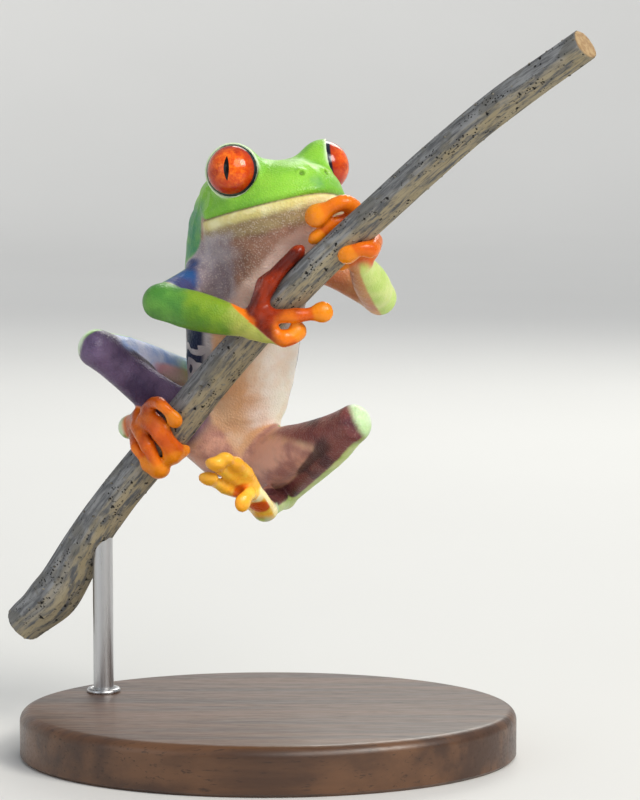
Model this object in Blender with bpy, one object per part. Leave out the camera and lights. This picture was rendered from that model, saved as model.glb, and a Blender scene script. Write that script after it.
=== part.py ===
"""Red-eyed tree frog clinging to a cut twig, a still life-size model on a plain display stand.

Millimetres are used up to the moment a mesh is made. Right and left are the frog's own.
The frog faces -Y, up is +Z, and the stand's underside lies at z = 0.
"""

import math

import bmesh
import bpy
import numpy as np

MM = 0.001  # one millimetre in Blender's metres
GAP = 0.3  # clearance between neighbouring pieces

# ---------------------------------------------------------------- driving sizes
HEAD_AT = (-5.9, 3.6, 85.0)  # midway between the two eyeballs
HEAD_YAW = 36.3  # degrees that the face turns to the frog's left
HEAD_PITCH = 13.7  # degrees that the snout is raised
EYE_RADIUS = 3.6
EYE_SIDE = 7.9  # eyeball centre from the midline
EYE_DROP = 0.4  # eyeball centre below the head's own centre
EYE_AZIMUTH = 50.0  # optical axis, out from straight ahead
LID_OUTER = 4.4  # radius of the mound that holds an eyeball
LID_RIM = 1.2  # eyelid rim plane, out from the eyeball centre
SNOUT = 9.5  # snout tip ahead of the eyes
OCCIPUT = -9.5  # back of the head
MOUTH_LEVEL = -6.3  # mouth plane below the eye centres
MOUTH_CORNER = -5.0  # back end of the mouth
HEAD_HALF = 10.1  # half width across the jaw corners
HEAD_RISE = 7.8  # crown above the mouth plane
THROAT_DROP = 8.6  # throat below the mouth plane, at the jaw corners

TRUNK_HALVES = (5.3, 7.4, 8.4, 8.8, 9.5, 9.5, 7.4)  # half widths, hips to nape
TRUNK_BACKS = (4.0, 5.0, 5.8, 6.2, 6.5, 6.0, 3.6)  # depths behind the spine
TRUNK_FRONTS = (4.4, 5.6, 6.5, 6.7, 6.8, 5.6, 3.0)
THIGH = (4.4, 4.1, 3.2, 2.7, 2.65)  # radii from hip to knee
SHANK = (2.65, 2.9, 2.6, 2.1, 1.7)
TARSUS = (1.7, 1.6, 1.7)
UPPER_ARM = (2.3, 2.2, 2.2)
FOREARM = (2.3, 2.7, 2.65, 2.3, 1.75)

ROD_RADIUS = 1.5
ROD_AT = (-32.2, 13.1)
ROD_TOP = 33.0
ROD_SEAT = 4.0  # depth of the rod's socket in the base
BASE_AT = (-7.5, 2.0)
BASE_HALF = (36.0, 27.0)
BASE_HEIGHT = 7.0
BASE_ROUND = 1.6

PELVIS_YAW = math.radians(18)  # turn of the hips, then of the shoulders, to the frog's left
SHOULDER_YAW = math.radians(14)

BALL_FACES = (14, 10)  # round the axis, and from pole to pole
LIMB_SIDES = 10
DIGIT_SIDES = 8
HEAD_SIDES = 22
TRUNK_SIDES = 18
TWIG_SIDES = 12

# ---------------------------------------------------------------- joints of the pose
SPINE = (
    (-12.4, 19.0, 43.6),
    (-12.0, 17.4, 50.2),
    (-11.5, 15.6, 57.1),
    (-11.0, 13.3, 63.9),
    (-10.3, 10.9, 70.7),
    (-10.0, 9.3, 76.4),
    (-10.2, 9.0, 81.2),
)
JOINTS = {
    "r": {
        "shoulder": (-16.3, 6.2, 69.5),
        "elbow": (-22.7, -3.1, 66.3),
        "wrist": (-9.7, -7.2, 63.3),
        "hip": (-14.8, 17.8, 43.0),
        "knee": (-32.3, 4.0, 59.1),
        "ankle": (-17.6, 24.8, 52.9),
        "heel": (-28.1, 13.0, 46.6),
    },
    "l": {
        "shoulder": (-2.8, 8.6, 72.6),
        "elbow": (8.6, 4.9, 66.3),
        "wrist": (5.5, -6.5, 71.9),
        "hip": (-9.6, 19.7, 40.2),
        "knee": (4.8, -2.8, 48.9),
        "ankle": (-5.4, 19.9, 35.3),
        "heel": (-8.0, 4.2, 35.5),
    },
}
PALMS = {  # wrist or heel side, middle, knuckle side, then half width and half thickness
    "hand_r": ((-9.7, -7.2, 63.3), (-8.3, -7.6, 63.5), (-7.2, -7.9, 63.7), 2.8, 1.2),
    "hand_l": ((5.5, -6.5, 71.9), (6.4, -7.1, 73.6), (7.0, -7.7, 75.2), 1.9, 1.2),
    "foot_r": ((-28.1, 13.0, 46.6), (-26.8, 9.8, 47.4), (-26.2, 7.9, 48.2), 2.0, 1.2),
    "foot_l": ((-8.0, 4.2, 35.5), (-9.4, 1.4, 37.4), (-10.5, -0.7, 39.1), 2.4, 1.3),
}
# Each digit runs knuckle, joints, tip. The last number is the radius of its disc.
DIGITS = {
    "finger_r_1": ((-8.9, -6.7, 65.0), (-8.0, -6.2, 67.8), (-6.0, -5.2, 70.2), (-4.2, -5.2, 71.6), 1.0),
    "finger_r_2": ((-8.7, -7.2, 65.6), (-7.5, -7.5, 68.3), (-5.1, -7.4, 70.8), (-2.9, -7.9, 73.2), 1.1),
    "finger_r_3": ((-7.4, -7.9, 64.6), (-4.3, -8.6, 64.7), (-1.7, -8.5, 64.9), (0.2, -8.4, 65.2), 1.5),
    "finger_r_4": ((-7.7, -7.6, 62.6), (-5.6, -8.0, 61.6), (-4.0, -7.9, 61.6), (-3.2, -7.5, 62.4), 1.25),
    "finger_l_1": ((5.6, -8.0, 73.7), (4.9, -7.6, 73.0), (4.1, -6.9, 72.3), (3.4, -6.4, 71.7), 0.95),
    "finger_l_2": ((5.9, -7.4, 75.1), (4.3, -7.1, 77.3), (2.0, -7.8, 77.9), (-0.5, -7.9, 75.6), 1.05),
    "finger_l_3": ((6.5, -7.7, 75.8), (5.1, -7.9, 79.0), (3.2, -9.3, 80.5), (-0.3, -8.8, 78.8), 1.75),
    "finger_l_4": ((7.6, -8.9, 75.2), (7.2, -11.3, 74.6), (5.8, -13.0, 74.0), (4.1, -13.3, 73.0), 1.4),
    "toe_r_1": ((-25.2, 6.4, 49.8), (-24.0, 3.9, 51.3), (-22.5, 1.6, 50.9), (-21.2, 1.2, 48.9), 1.15),
    "toe_r_2": ((-25.6, 6.2, 48.5), (-23.7, 3.4, 47.2), (-22.5, 3.1, 45.3), (-21.1, 4.1, 43.2), 1.6),
    "toe_r_3": ((-24.9, 5.4, 49.6), (-23.0, 3.1, 48.0), (-21.7, 3.4, 46.0), (-19.8, 5.6, 44.0), 0.9),
    "toe_r_4": ((-26.6, 7.2, 47.4), (-25.4, 4.4, 45.5), (-24.5, 4.0, 43.6), (-23.3, 5.0, 41.1), 1.6),
    "toe_r_5": ((-27.3, 9.4, 45.9), (-26.9, 7.0, 44.9), (-25.9, 5.3, 43.2), (-25.1, 5.2, 41.9), 0.9),
    "toe_l_1": ((-9.6, -1.6, 38.6), (-9.9, -3.3, 39.0), (-10.3, -4.5, 38.9), (-10.9, -5.2, 38.0), 1.3),
    "toe_l_2": ((-9.6, -1.7, 40.1), (-10.2, -3.6, 41.7), (-10.9, -5.2, 42.9), (-11.8, -6.8, 43.8), 1.0),
    "toe_l_3": ((-10.2, -1.9, 40.2), (-11.3, -4.6, 42.3), (-12.2, -6.9, 43.6), (-13.2, -9.0, 44.7), 1.15),
    "toe_l_4": ((-11.0, -1.9, 39.9), (-12.3, -4.4, 41.3), (-13.5, -6.8, 42.6), (-14.7, -9.2, 43.9), 1.35),
    "toe_l_5": ((-11.6, -1.6, 38.9), (-13.1, -3.6, 39.6), (-14.4, -5.3, 40.6), (-15.7, -7.2, 41.6), 1.35),
}
FREE_FOOT = "foot_l"  # the foot that doesn't grip the twig
DIGIT_RADIUS = 0.88
DISC_THICK = 0.62  # a toe disc's thickness as a share of its width

TWIG = (  # centre line from the lower cut end, with its radius
    (-45.0, 20.7, 15.6, 2.9),
    (-39.3, 18.4, 21.4, 3.5),
    (-32.2, 13.1, 33.1, 2.95),
    (-22.6, 7.4, 45.4, 2.8),
    (-12.3, 0.7, 58.4, 2.6),
    (-2.4, -7.2, 69.5, 2.4),
    (5.4, -10.9, 77.1, 2.35),
    (21.1, -21.5, 91.6, 2.3),
    (34.6, -30.5, 101.9, 2.15),
)


# ---------------------------------------------------------------- small vector helpers
def vec(*values):
    return np.array(values, float)


def unit(v):
    return v / np.linalg.norm(v)


def spline(points, count):
    """Evenly counted samples of a smooth curve through the rows, in all their columns."""
    rows = np.array(points, float)
    rows = np.vstack([2 * rows[0] - rows[1], rows, 2 * rows[-1] - rows[-2]])
    out = []
    for place in np.linspace(0, len(rows) - 3, count):
        i = min(int(place), len(rows) - 4)
        t = place - i
        a, b, c, d = rows[i : i + 4]
        curve = 2 * b + (c - a) * t + (2 * a - 5 * b + 4 * c - d) * t**2
        out.append(0.5 * (curve + (3 * b - a - 3 * c + d) * t**3))
    return np.array(out)


def profile(radii, share):
    """Radius at a share from 0 to 1 of a bone's length."""
    return spline([(r,) for r in radii], 33)[int(round(share * 32)), 0]


# ---------------------------------------------------------------- meshes
def ring(centre, side, up, wide, rise, drop, sides, powers=(2.0, 2.0)):
    """One closed section: half width, height above and depth below its centre.

    The powers, 2 for an ellipse and more for a squarer shape, are for above and below.
    """
    points = []
    for k in range(sides):
        angle = 2 * math.pi * k / sides
        c, s = math.cos(angle), math.sin(angle)
        power = powers[0] if s > 0 else powers[1]
        across = math.copysign(abs(c) ** (2 / power), c) * wide
        along = math.copysign(abs(s) ** (2 / power), s) * (rise if s > 0 else drop)
        points.append(centre + across * side + along * up)
    return points


def outward(bm):
    """Turns every face of a closed bmesh outwards."""
    bm.normal_update()
    bmesh.ops.recalc_face_normals(bm, faces=bm.faces)
    return bm


def loft(rings):
    """A closed bmesh over sections of equal count, each end drawn to a point."""
    bm = bmesh.new()
    rows = [[bm.verts.new(p) for p in points] for points in rings]
    for low, high in zip(rows, rows[1:]):
        for k in range(len(low)):
            n = (k + 1) % len(low)
            bm.faces.new((low[k], low[n], high[n], high[k]))
    for row, points, flip in ((rows[0], rings[0], True), (rows[-1], rings[-1], False)):
        tip = bm.verts.new(np.mean(points, axis=0))
        for k in range(len(row)):
            pair = (row[k], row[(k + 1) % len(row)])
            bm.faces.new((*(pair[::-1] if flip else pair), tip))
    return outward(bm)


def tube(path, wide, thick, broad_to, sides):
    """A limb-like body with round ends: a path, and half sizes across and through it.

    broad_to is the direction that the wider half size lies along.
    """
    path = np.array(path, float)
    tangents = np.gradient(path, axis=0)
    rings = []
    for i, (point, tangent) in enumerate(zip(path, tangents)):
        tangent = unit(tangent)
        side = unit(np.array(broad_to) - np.dot(broad_to, tangent) * tangent)
        up = np.cross(tangent, side)
        # The first and last sections are followed out to the pole of a round end.
        bends = {0: (-70, -35, 0), len(path) - 1: (0, 35, 70)}.get(i, (0,))
        for degrees in bends:
            bend = math.radians(degrees)
            out = point + math.sin(bend) * thick[i] * tangent
            broad, deep = math.cos(bend) * vec(wide[i], thick[i])
            rings.append(ring(out, side, up, broad, deep, deep, sides))
    return loft(rings)


def ball(centre, radius):
    bm = bmesh.new()
    around, along = BALL_FACES
    bmesh.ops.create_uvsphere(bm, u_segments=around, v_segments=along, radius=radius)
    bmesh.ops.translate(bm, verts=bm.verts, vec=centre)
    return bm


def block(centre, axes, halves):
    """A box with the given unit axes and half sizes."""
    bm = bmesh.new()
    bmesh.ops.create_cube(bm, size=2)
    for v in bm.verts:
        local = np.array(v.co)
        v.co = np.array(centre) + sum(local[k] * halves[k] * axes[k] for k in range(3))
    return outward(bm)


def trim(bm, point, normal):
    """Keeps the side that the normal points to, and closes the cut flat."""
    geometry = bm.verts[:] + bm.edges[:] + bm.faces[:]
    cut = bmesh.ops.bisect_plane(
        bm, geom=geometry, dist=1e-4, plane_co=point, plane_no=normal, clear_inner=True
    )["geom_cut"]
    edges = [e for e in cut if isinstance(e, bmesh.types.BMEdge)]
    if edges:
        bmesh.ops.holes_fill(bm, edges=edges, sides=0)
    return outward(bm)


# ---------------------------------------------------------------- nodes
def material(name, colour, rough=0.45, metal=0.0):
    made = bpy.data.materials.get(name)
    if made is None:
        made = bpy.data.materials.new(name)
        made.use_nodes = True
        shader = made.node_tree.nodes["Principled BSDF"]
        shader.inputs["Base Color"].default_value = (*colour, 1)
        shader.inputs["Roughness"].default_value = rough
        shader.inputs["Metallic"].default_value = metal
        made.diffuse_color = (*colour, 1)
    return made


def node(name, bm, look, smooth=True):
    """Turns a bmesh in millimetres into a named object."""
    bmesh.ops.scale(bm, verts=bm.verts, vec=(MM, MM, MM))
    bmesh.ops.triangulate(bm, faces=[f for f in bm.faces if len(f.verts) > 4])
    mesh = bpy.data.meshes.new(name)
    bm.to_mesh(mesh)
    bm.free()
    mesh.materials.append(look)
    for polygon in mesh.polygons:
        polygon.use_smooth = smooth
    made = bpy.data.objects.new(name, mesh)
    bpy.context.scene.collection.objects.link(made)
    return made


def carve(target, *tools, operation="DIFFERENCE"):
    """Applies an exact Boolean of each tool bmesh to the target, then drops the tools."""
    for tool in tools:
        cutter = node("cutter", tool, target.data.materials[0])
        modifier = target.modifiers.new("carve", "BOOLEAN")
        modifier.operation = operation
        modifier.solver = "EXACT"
        modifier.object = cutter
        graph = bpy.context.evaluated_depsgraph_get()
        result = bpy.data.meshes.new_from_object(target.evaluated_get(graph))
        target.modifiers.clear()
        target.data = result
        bpy.data.objects.remove(cutter)
    return target


# ---------------------------------------------------------------- looks
def looks():
    return {
        "leaf green": material("leaf green skin", (0.13, 0.45, 0.04)),
        "cream": material("cream belly skin", (0.72, 0.56, 0.38)),
        "violet": material("violet limb skin", (0.16, 0.08, 0.16)),
        "orange": material("orange digit skin", (0.85, 0.22, 0.02)),
        "red eye": material("red eye", (0.6, 0.04, 0.01), rough=0.08),
        "bark": material("twig bark", (0.2, 0.18, 0.14), rough=0.8),
        "walnut": material("walnut base", (0.12, 0.06, 0.03), rough=0.4),
        "steel": material("steel rod", (0.6, 0.6, 0.6), rough=0.3, metal=1.0),
    }


# ---------------------------------------------------------------- head
def head_axes():
    """Unit vectors forward, to the frog's left, and up."""
    yaw, pitch = math.radians(HEAD_YAW), math.radians(HEAD_PITCH)
    level = vec(math.sin(yaw), -math.cos(yaw), 0)
    forward = level * math.cos(pitch) + vec(0, 0, math.sin(pitch))
    left = vec(math.cos(yaw), math.sin(yaw), 0)
    return forward, left, np.cross(forward, left)


def at_head(x, y, z):
    forward, left, up = head_axes()
    return np.array(HEAD_AT) + x * forward + y * left + z * up


def head_sections():
    """Sections across the head from nape to snout, widest at the mouth's level."""
    forward, left, up = head_axes()
    rings = []
    for share in (0.06, 0.2, 0.38, 0.55, 0.72, 0.86, 0.96, 1.0):
        # The back third swells out of the nape, the rest narrows to the snout.
        x = OCCIPUT + (SNOUT - OCCIPUT) * share
        ahead = max(0.0, (x - MOUTH_CORNER) / (SNOUT - MOUTH_CORNER))
        behind = max(0.0, (MOUTH_CORNER - x) / (MOUTH_CORNER - OCCIPUT))
        wide = HEAD_HALF * max(1 - ahead**1.9, 0.03) ** (1 / 1.9)
        wide *= math.sqrt(max(1 - (0.75 * behind) ** 2, 0))
        rise = HEAD_RISE * max(1 - ahead**2.6, 0.05) ** 0.55 * (1 - 0.2 * behind**2)
        drop = THROAT_DROP * max(1 - ahead**1.5, 0.1) * (1 + 0.1 * behind)
        centre = at_head(x, 0, MOUTH_LEVEL + 0.6 * ahead**4)
        powers = (2.5, 2.0)
        rings.append(ring(centre, left, up, wide, rise, drop, HEAD_SIDES, powers))
    return rings


def eye_places():
    """Each eyeball's centre and optical axis, by side."""
    angle = math.radians(EYE_AZIMUTH)
    forward, left, _ = head_axes()
    out = {}
    for side, way in (("r", -1), ("l", 1)):
        axis = math.cos(angle) * forward + way * math.sin(angle) * left
        out[side] = (at_head(0, way * EYE_SIDE, -EYE_DROP), axis)
    return out


def jaw_block(grow):
    """The space of the lower jaw: under the mouth plane, ahead of its corner."""
    long, deep = 10.0, 5.0
    centre = at_head(MOUTH_CORNER + long - grow, 0, MOUTH_LEVEL - deep + grow)
    return block(centre, head_axes(), (long, 14.0, deep))


def make_head(look):
    head = node("head", loft(head_sections()), look["leaf green"])
    for centre, axis in eye_places().values():
        mound = trim(ball(centre, LID_OUTER), centre + LID_RIM * axis, -axis)
        carve(head, mound, operation="UNION")
    for centre, axis in eye_places().values():
        carve(head, ball(centre, EYE_RADIUS + GAP))
    jaw = node("lower_jaw", loft(head_sections()), look["cream"])
    carve(jaw, jaw_block(-GAP), operation="INTERSECT")
    carve(head, jaw_block(0.0))
    for side, (centre, _) in eye_places().items():
        node(f"eye_{side}", ball(centre, EYE_RADIUS), look["red eye"])
    return head, jaw


def neck_plane():
    """The plane between head and trunk, its normal towards the head."""
    forward, _, up = head_axes()
    return at_head(OCCIPUT + 4.2, 0, MOUTH_LEVEL - 0.5), unit(0.72 * forward + 0.7 * up)


# ---------------------------------------------------------------- trunk
def trunk_body(grow=0.0):
    path = spline(np.column_stack([SPINE, TRUNK_HALVES, TRUNK_BACKS, TRUNK_FRONTS]), 11)
    yaws = np.linspace(PELVIS_YAW, SHOULDER_YAW, len(path))
    tangents = np.gradient(path[:, :3], axis=0)
    rings = []
    for i, (row, tangent, yaw) in enumerate(zip(path, tangents, yaws)):
        tangent = unit(tangent)
        side = unit(vec(math.cos(yaw), math.sin(yaw), 0) - tangent * tangent[0] * math.cos(yaw))
        belly = np.cross(side, tangent)
        wide, back, front = row[3:] + grow
        if i == 0:
            for size, out in ((0.35, 2.3), (0.75, 1.5)):
                centre = row[:3] - tangent * (out + grow)
                sizes = size * vec(wide, back, front)
                rings.append(ring(centre, side, -belly, *sizes, TRUNK_SIDES))
        rings.append(ring(row[:3], side, -belly, wide, back, front, TRUNK_SIDES, (2.2, 2.2)))
    for size, out in ((0.8, 1.0), (0.4, 1.6)):
        centre = path[-1, :3] + tangent * (out + grow)
        sizes = size * vec(wide, back, front)
        rings.append(ring(centre, side, -belly, *sizes, TRUNK_SIDES))
    return loft(rings)


# ---------------------------------------------------------------- limbs
def bone(start, end, radii, flat=1.0, grow=0.0):
    """A straight limb piece with a radius profile and round ends, its section taller than wide."""
    shares = np.linspace(0, 1, 6)
    path = [np.array(start) * (1 - t) + np.array(end) * t for t in shares]
    tall = [profile(radii, t) + grow for t in shares]
    thick = [profile(radii, t) * flat + grow for t in shares]
    return tube(path, tall, thick, (0, 0, 1), LIMB_SIDES)


def joint_plane(before, joint, after):
    """The plane that halves a bend, its normal towards the bone before it."""
    joint = np.array(joint)
    return joint, unit(unit(np.array(before) - joint) - unit(np.array(after) - joint))


def split(first, second, plane):
    """Trims two bmeshes to either side of a plane, half a gap from it."""
    point, normal = plane
    trim(first, point + normal * GAP / 2, normal)
    trim(second, point - normal * GAP / 2, -normal)


def make_arm(side, look):
    j = JOINTS[side]
    upper = bone(j["shoulder"], j["elbow"], UPPER_ARM)
    fore = bone(j["elbow"], j["wrist"], FOREARM, flat=0.9)
    palm_row = PALMS[f"hand_{side}"]
    palm = palm_body(palm_row)
    split(upper, fore, joint_plane(j["shoulder"], j["elbow"], j["wrist"]))
    split(fore, palm, joint_plane(j["elbow"], j["wrist"], palm_row[2]))
    arm = node(f"upper_arm_{side}", upper, look["violet"])
    carve(arm, trunk_body(grow=GAP))
    node(f"forearm_{side}", fore, look["leaf green"])
    return node(f"hand_{side}", palm, look["orange"])


def make_leg(side, look):
    j = JOINTS[side]
    thigh = bone(j["hip"], j["knee"], THIGH, flat=0.9)
    shank = bone(j["knee"], j["ankle"], SHANK, flat=0.9)
    tarsus = bone(j["ankle"], j["heel"], TARSUS)
    palm_row = PALMS[f"foot_{side}"]
    palm = palm_body(palm_row)
    split(thigh, shank, joint_plane(j["hip"], j["knee"], j["ankle"]))
    split(shank, tarsus, joint_plane(j["knee"], j["ankle"], j["heel"]))
    split(tarsus, palm, joint_plane(j["ankle"], j["heel"], palm_row[2]))
    sideways = vec(math.cos(PELVIS_YAW), math.sin(PELVIS_YAW), 0) * (1 if side == "l" else -1)
    trim(thigh, np.array(SPINE[0]) + sideways * GAP / 2, sideways)
    leg = node(f"thigh_{side}", thigh, look["violet"])
    carve(leg, trunk_body(grow=GAP), twig_body(grow=GAP))
    node(f"shank_{side}", shank, look["violet"])
    node(f"tarsus_{side}", tarsus, look["leaf green"])
    foot = node(f"foot_{side}", palm, look["orange"])
    return carve(foot, bone(j["hip"], j["knee"], THIGH, flat=0.9, grow=GAP))


def palm_body(row, grow=0.0):
    """The pad between wrist and knuckles, broadest at the knuckles."""
    start, middle, end, wide, thick = row
    path = spline([start, middle, end], 5)
    across = unit(np.cross(path[-1] - path[0], PALM_FACES[row]))
    wides = [wide * s + grow for s in (0.75, 0.85, 0.95, 1.0, 0.95)]
    return tube(path, wides, [thick + grow] * 5, across, LIMB_SIDES)


# Directions that the palms, soles and discs press towards.
PALM_FACES = {
    PALMS["hand_r"]: (0.3, 0.9, -0.1),
    PALMS["hand_l"]: (-0.1, 0.9, 0.3),
    PALMS["foot_r"]: (0.5, 0.8, -0.1),
    PALMS["foot_l"]: (-0.3, -0.6, -0.7),
}


def digit_body(row, face, grow=0.0):
    """A finger or toe: a thin stem that spreads into a rounded disc."""
    *points, disc = row
    path = spline(points, 7)
    shares = np.linspace(0, 1, len(path))
    spread = np.clip((shares - 0.6) / 0.25, 0, 1) ** 2
    stem = DIGIT_RADIUS * (1.08 - 0.18 * shares)
    wide = stem + (disc - stem) * spread
    thick = stem + (disc * DISC_THICK - stem) * spread
    heading = unit(path[-1] - path[-3])
    across = np.cross(heading, face)
    return tube(path, wide + grow, thick + grow, unit(across), DIGIT_SIDES)


def make_digits(palms, look):
    """Fingers and toes, each cut clear of palm and arm, of the digits before it and of the twig."""
    for limb, palm in palms.items():
        kind = "finger" if limb.startswith("hand") else "toe"
        face = PALM_FACES[PALMS[limb]]
        done = []
        for name, row in DIGITS.items():
            if not name.startswith(f"{kind}_{limb[-1]}"):
                continue
            digit = node(name, digit_body(row, face), look["orange"])
            carve(digit, palm_body(PALMS[limb], grow=GAP))
            if kind == "finger":
                joints = JOINTS[limb[-1]]
                carve(digit, bone(joints["elbow"], joints["wrist"], FOREARM, flat=0.9, grow=GAP))
            carve(digit, *[digit_body(other, face, grow=GAP) for other in done])
            if limb != FREE_FOOT:
                carve(digit, twig_body(grow=GAP))
            done.append(row)


# ---------------------------------------------------------------- twig and stand
def twig_body(grow=0.0):
    """The twig's bark, ridged along its length, with flat cut ends."""
    path = spline(TWIG, 23)
    tangents = np.gradient(path[:, :3], axis=0)
    rings = []
    for i, (row, tangent) in enumerate(zip(path, tangents)):
        tangent = unit(tangent)
        side = unit(np.cross(tangent, vec(0, 1, 0)))
        up = np.cross(side, tangent)
        points = []
        for k in range(TWIG_SIDES):
            angle = 2 * math.pi * k / TWIG_SIDES
            ridge = 1 + 0.025 * math.sin(3 * angle + 0.3 * i) + 0.015 * math.sin(5 * angle - 0.5 * i)
            out = math.cos(angle) * side + math.sin(angle) * up
            points.append(row[:3] + out * (row[3] * ridge + grow))
        rings.append(points)
    return loft(rings)


def base_outline(shrink, height):
    turns = np.linspace(0, 2 * math.pi, 30, endpoint=False)
    halves = [h - shrink for h in BASE_HALF]
    return [
        vec(BASE_AT[0] + halves[0] * math.cos(a), BASE_AT[1] + halves[1] * math.sin(a), height)
        for a in turns
    ]


def cylinder(radius, low, high, sides=12):
    return loft([
        ring(vec(*ROD_AT, z), vec(1, 0, 0), vec(0, 1, 0), radius, radius, radius, sides)
        for z in (low, high)
    ])


def make_stand(look):
    """An oval base with a rounded top edge, and one rod seated in base and twig."""
    rings = [base_outline(0.5, 0), base_outline(0, 0.5)]
    for degrees in (0, 30, 60, 90):
        bend = math.radians(degrees)
        height = BASE_HEIGHT - BASE_ROUND * (1 - math.sin(bend))
        rings.append(base_outline(BASE_ROUND * (1 - math.cos(bend)), height))
    base = node("stand_base", loft(rings), look["walnut"], smooth=False)
    floor = BASE_HEIGHT - ROD_SEAT
    carve(base, cylinder(ROD_RADIUS + GAP, floor, BASE_HEIGHT + 5))
    node("stand_rod", cylinder(ROD_RADIUS, floor + GAP, ROD_TOP), look["steel"])
    twig = node("twig", twig_body(), look["bark"])
    carve(twig, cylinder(ROD_RADIUS + GAP, 20, ROD_TOP + GAP))


# ---------------------------------------------------------------- the whole model
def build():
    for old in list(bpy.data.objects):
        bpy.data.objects.remove(old, do_unlink=True)
    look = looks()
    head, jaw = make_head(look)
    trunk = node("trunk", trunk_body(), look["cream"])
    point, normal = neck_plane()
    axes = (np.cross(normal, head_axes()[1]), head_axes()[1], normal)
    carve(trunk, block(point + normal * (20 - GAP / 2), axes, (25, 25, 20)))
    for piece in (head, jaw):
        carve(piece, block(point - normal * (20 - GAP / 2), axes, (25, 25, 20)))
    palms = {}
    for side in ("r", "l"):
        palms[f"hand_{side}"] = make_arm(side, look)
        palms[f"foot_{side}"] = make_leg(side, look)
    make_digits(palms, look)
    make_stand(look)


build()
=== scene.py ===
# %% [markdown]
# # A red-eyed tree frog on a cut twig
# The real thing is a small climbing frog, moist and soft, gripping a slanting twig with
# orange hands and feet. Here it is a still, life-size museum model on a plain stand.
# The solids already give its sizes and pose. This script gives it its looks: one unbroken
# skin over all the flesh, wet eyes, bark on the twig, and a walnut and steel stand.

# %% Load the solids and note their box
import math

import bmesh
import bpy
import numpy as np
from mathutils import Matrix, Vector


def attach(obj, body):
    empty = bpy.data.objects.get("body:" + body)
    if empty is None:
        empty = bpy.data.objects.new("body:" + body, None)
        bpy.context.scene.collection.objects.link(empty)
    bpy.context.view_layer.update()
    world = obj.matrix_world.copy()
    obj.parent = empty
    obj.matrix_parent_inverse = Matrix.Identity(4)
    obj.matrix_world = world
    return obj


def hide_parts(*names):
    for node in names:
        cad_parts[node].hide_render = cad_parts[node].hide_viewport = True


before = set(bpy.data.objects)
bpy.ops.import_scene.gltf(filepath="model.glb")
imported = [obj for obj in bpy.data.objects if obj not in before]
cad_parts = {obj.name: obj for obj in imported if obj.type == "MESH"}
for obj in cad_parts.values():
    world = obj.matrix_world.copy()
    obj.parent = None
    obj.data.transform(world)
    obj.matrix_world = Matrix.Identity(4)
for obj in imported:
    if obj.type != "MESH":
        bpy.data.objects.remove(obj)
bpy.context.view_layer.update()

MM = 0.001  # the shapes below are worked out in millimetres

# %% [markdown]
# ## Camera, floor and light
# A small model looks natural through a long lens a little above its middle. The floor is
# one pale sheet that curls up far away on every side, so no horizon shows from anywhere.


# %% Camera
def put(name, data):
    """A new object in the scene, at the origin."""
    made = bpy.data.objects.new(name, data)
    bpy.context.scene.collection.objects.link(made)
    return made


AIM = Vector((0, 0, 52)) * MM
CAMERA_FAR = 420 * MM
CAMERA_RISE = math.radians(6)
FRAME_TALL = 114.3 * MM  # what the picture's long side spans at the aim point
SENSOR = 36.0

camera_data = bpy.data.cameras.new("camera")
camera_data.sensor_width = SENSOR
camera_data.lens = SENSOR * CAMERA_FAR / FRAME_TALL
camera_data.clip_start = 0.01
camera = put("camera", camera_data)
camera.location = AIM + CAMERA_FAR * Vector((0, -math.cos(CAMERA_RISE), math.sin(CAMERA_RISE)))
camera.rotation_euler = (AIM - camera.location).to_track_quat("-Z", "Y").to_euler()
bpy.context.scene.camera = camera
print("lens", round(camera_data.lens, 1), "mm")


# %% Helpers that put a mesh in the scene
def add_mesh(name, points_mm, faces):
    """A mesh object from points in millimetres, standing at the origin."""
    mesh = bpy.data.meshes.new(name)
    mesh.from_pydata((np.asarray(points_mm, float) * MM).tolist(), [], [list(f) for f in faces])
    mesh.validate()
    mesh.polygons.foreach_set("use_smooth", [True] * len(mesh.polygons))
    return put(name, mesh)


def strip(low, high):
    """Four-sided faces between two closed rings of point numbers."""
    count = len(low)
    return [(low[k], low[(k + 1) % count], high[(k + 1) % count], high[k]) for k in range(count)]


def grid_faces(rows, columns):
    """Four-sided faces of a grid of points, joined round its columns."""
    rings = np.arange(rows * columns).reshape(rows, columns).tolist()
    return [face for low, high in zip(rings, rings[1:]) for face in strip(low, high)]


def face_outwards(made):
    bm = bmesh.new()
    bm.from_mesh(made.data)
    bm.normal_update()
    bmesh.ops.recalc_face_normals(bm, faces=bm.faces)
    bm.to_mesh(made.data)
    bm.free()
    return made


def store(made, name, values):
    """Keeps a number or a vector on each point of a mesh, for its material to read."""
    values = np.asarray(values, np.float32)
    kind, key = ("FLOAT", "value") if values.ndim == 1 else ("FLOAT_VECTOR", "vector")
    made.data.attributes.new(name, kind, "POINT").data.foreach_set(key, values.ravel())


def paint(made, material):
    made.data.materials.clear()
    made.data.materials.append(material)
    return made


print("mesh helpers ready")

# %% [markdown]
# ## Shader helpers
# A material is a small web of nodes. These helpers keep each web readable: one adds a node
# with its values, one joins sockets. Patterns that several materials share are node groups.


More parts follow.
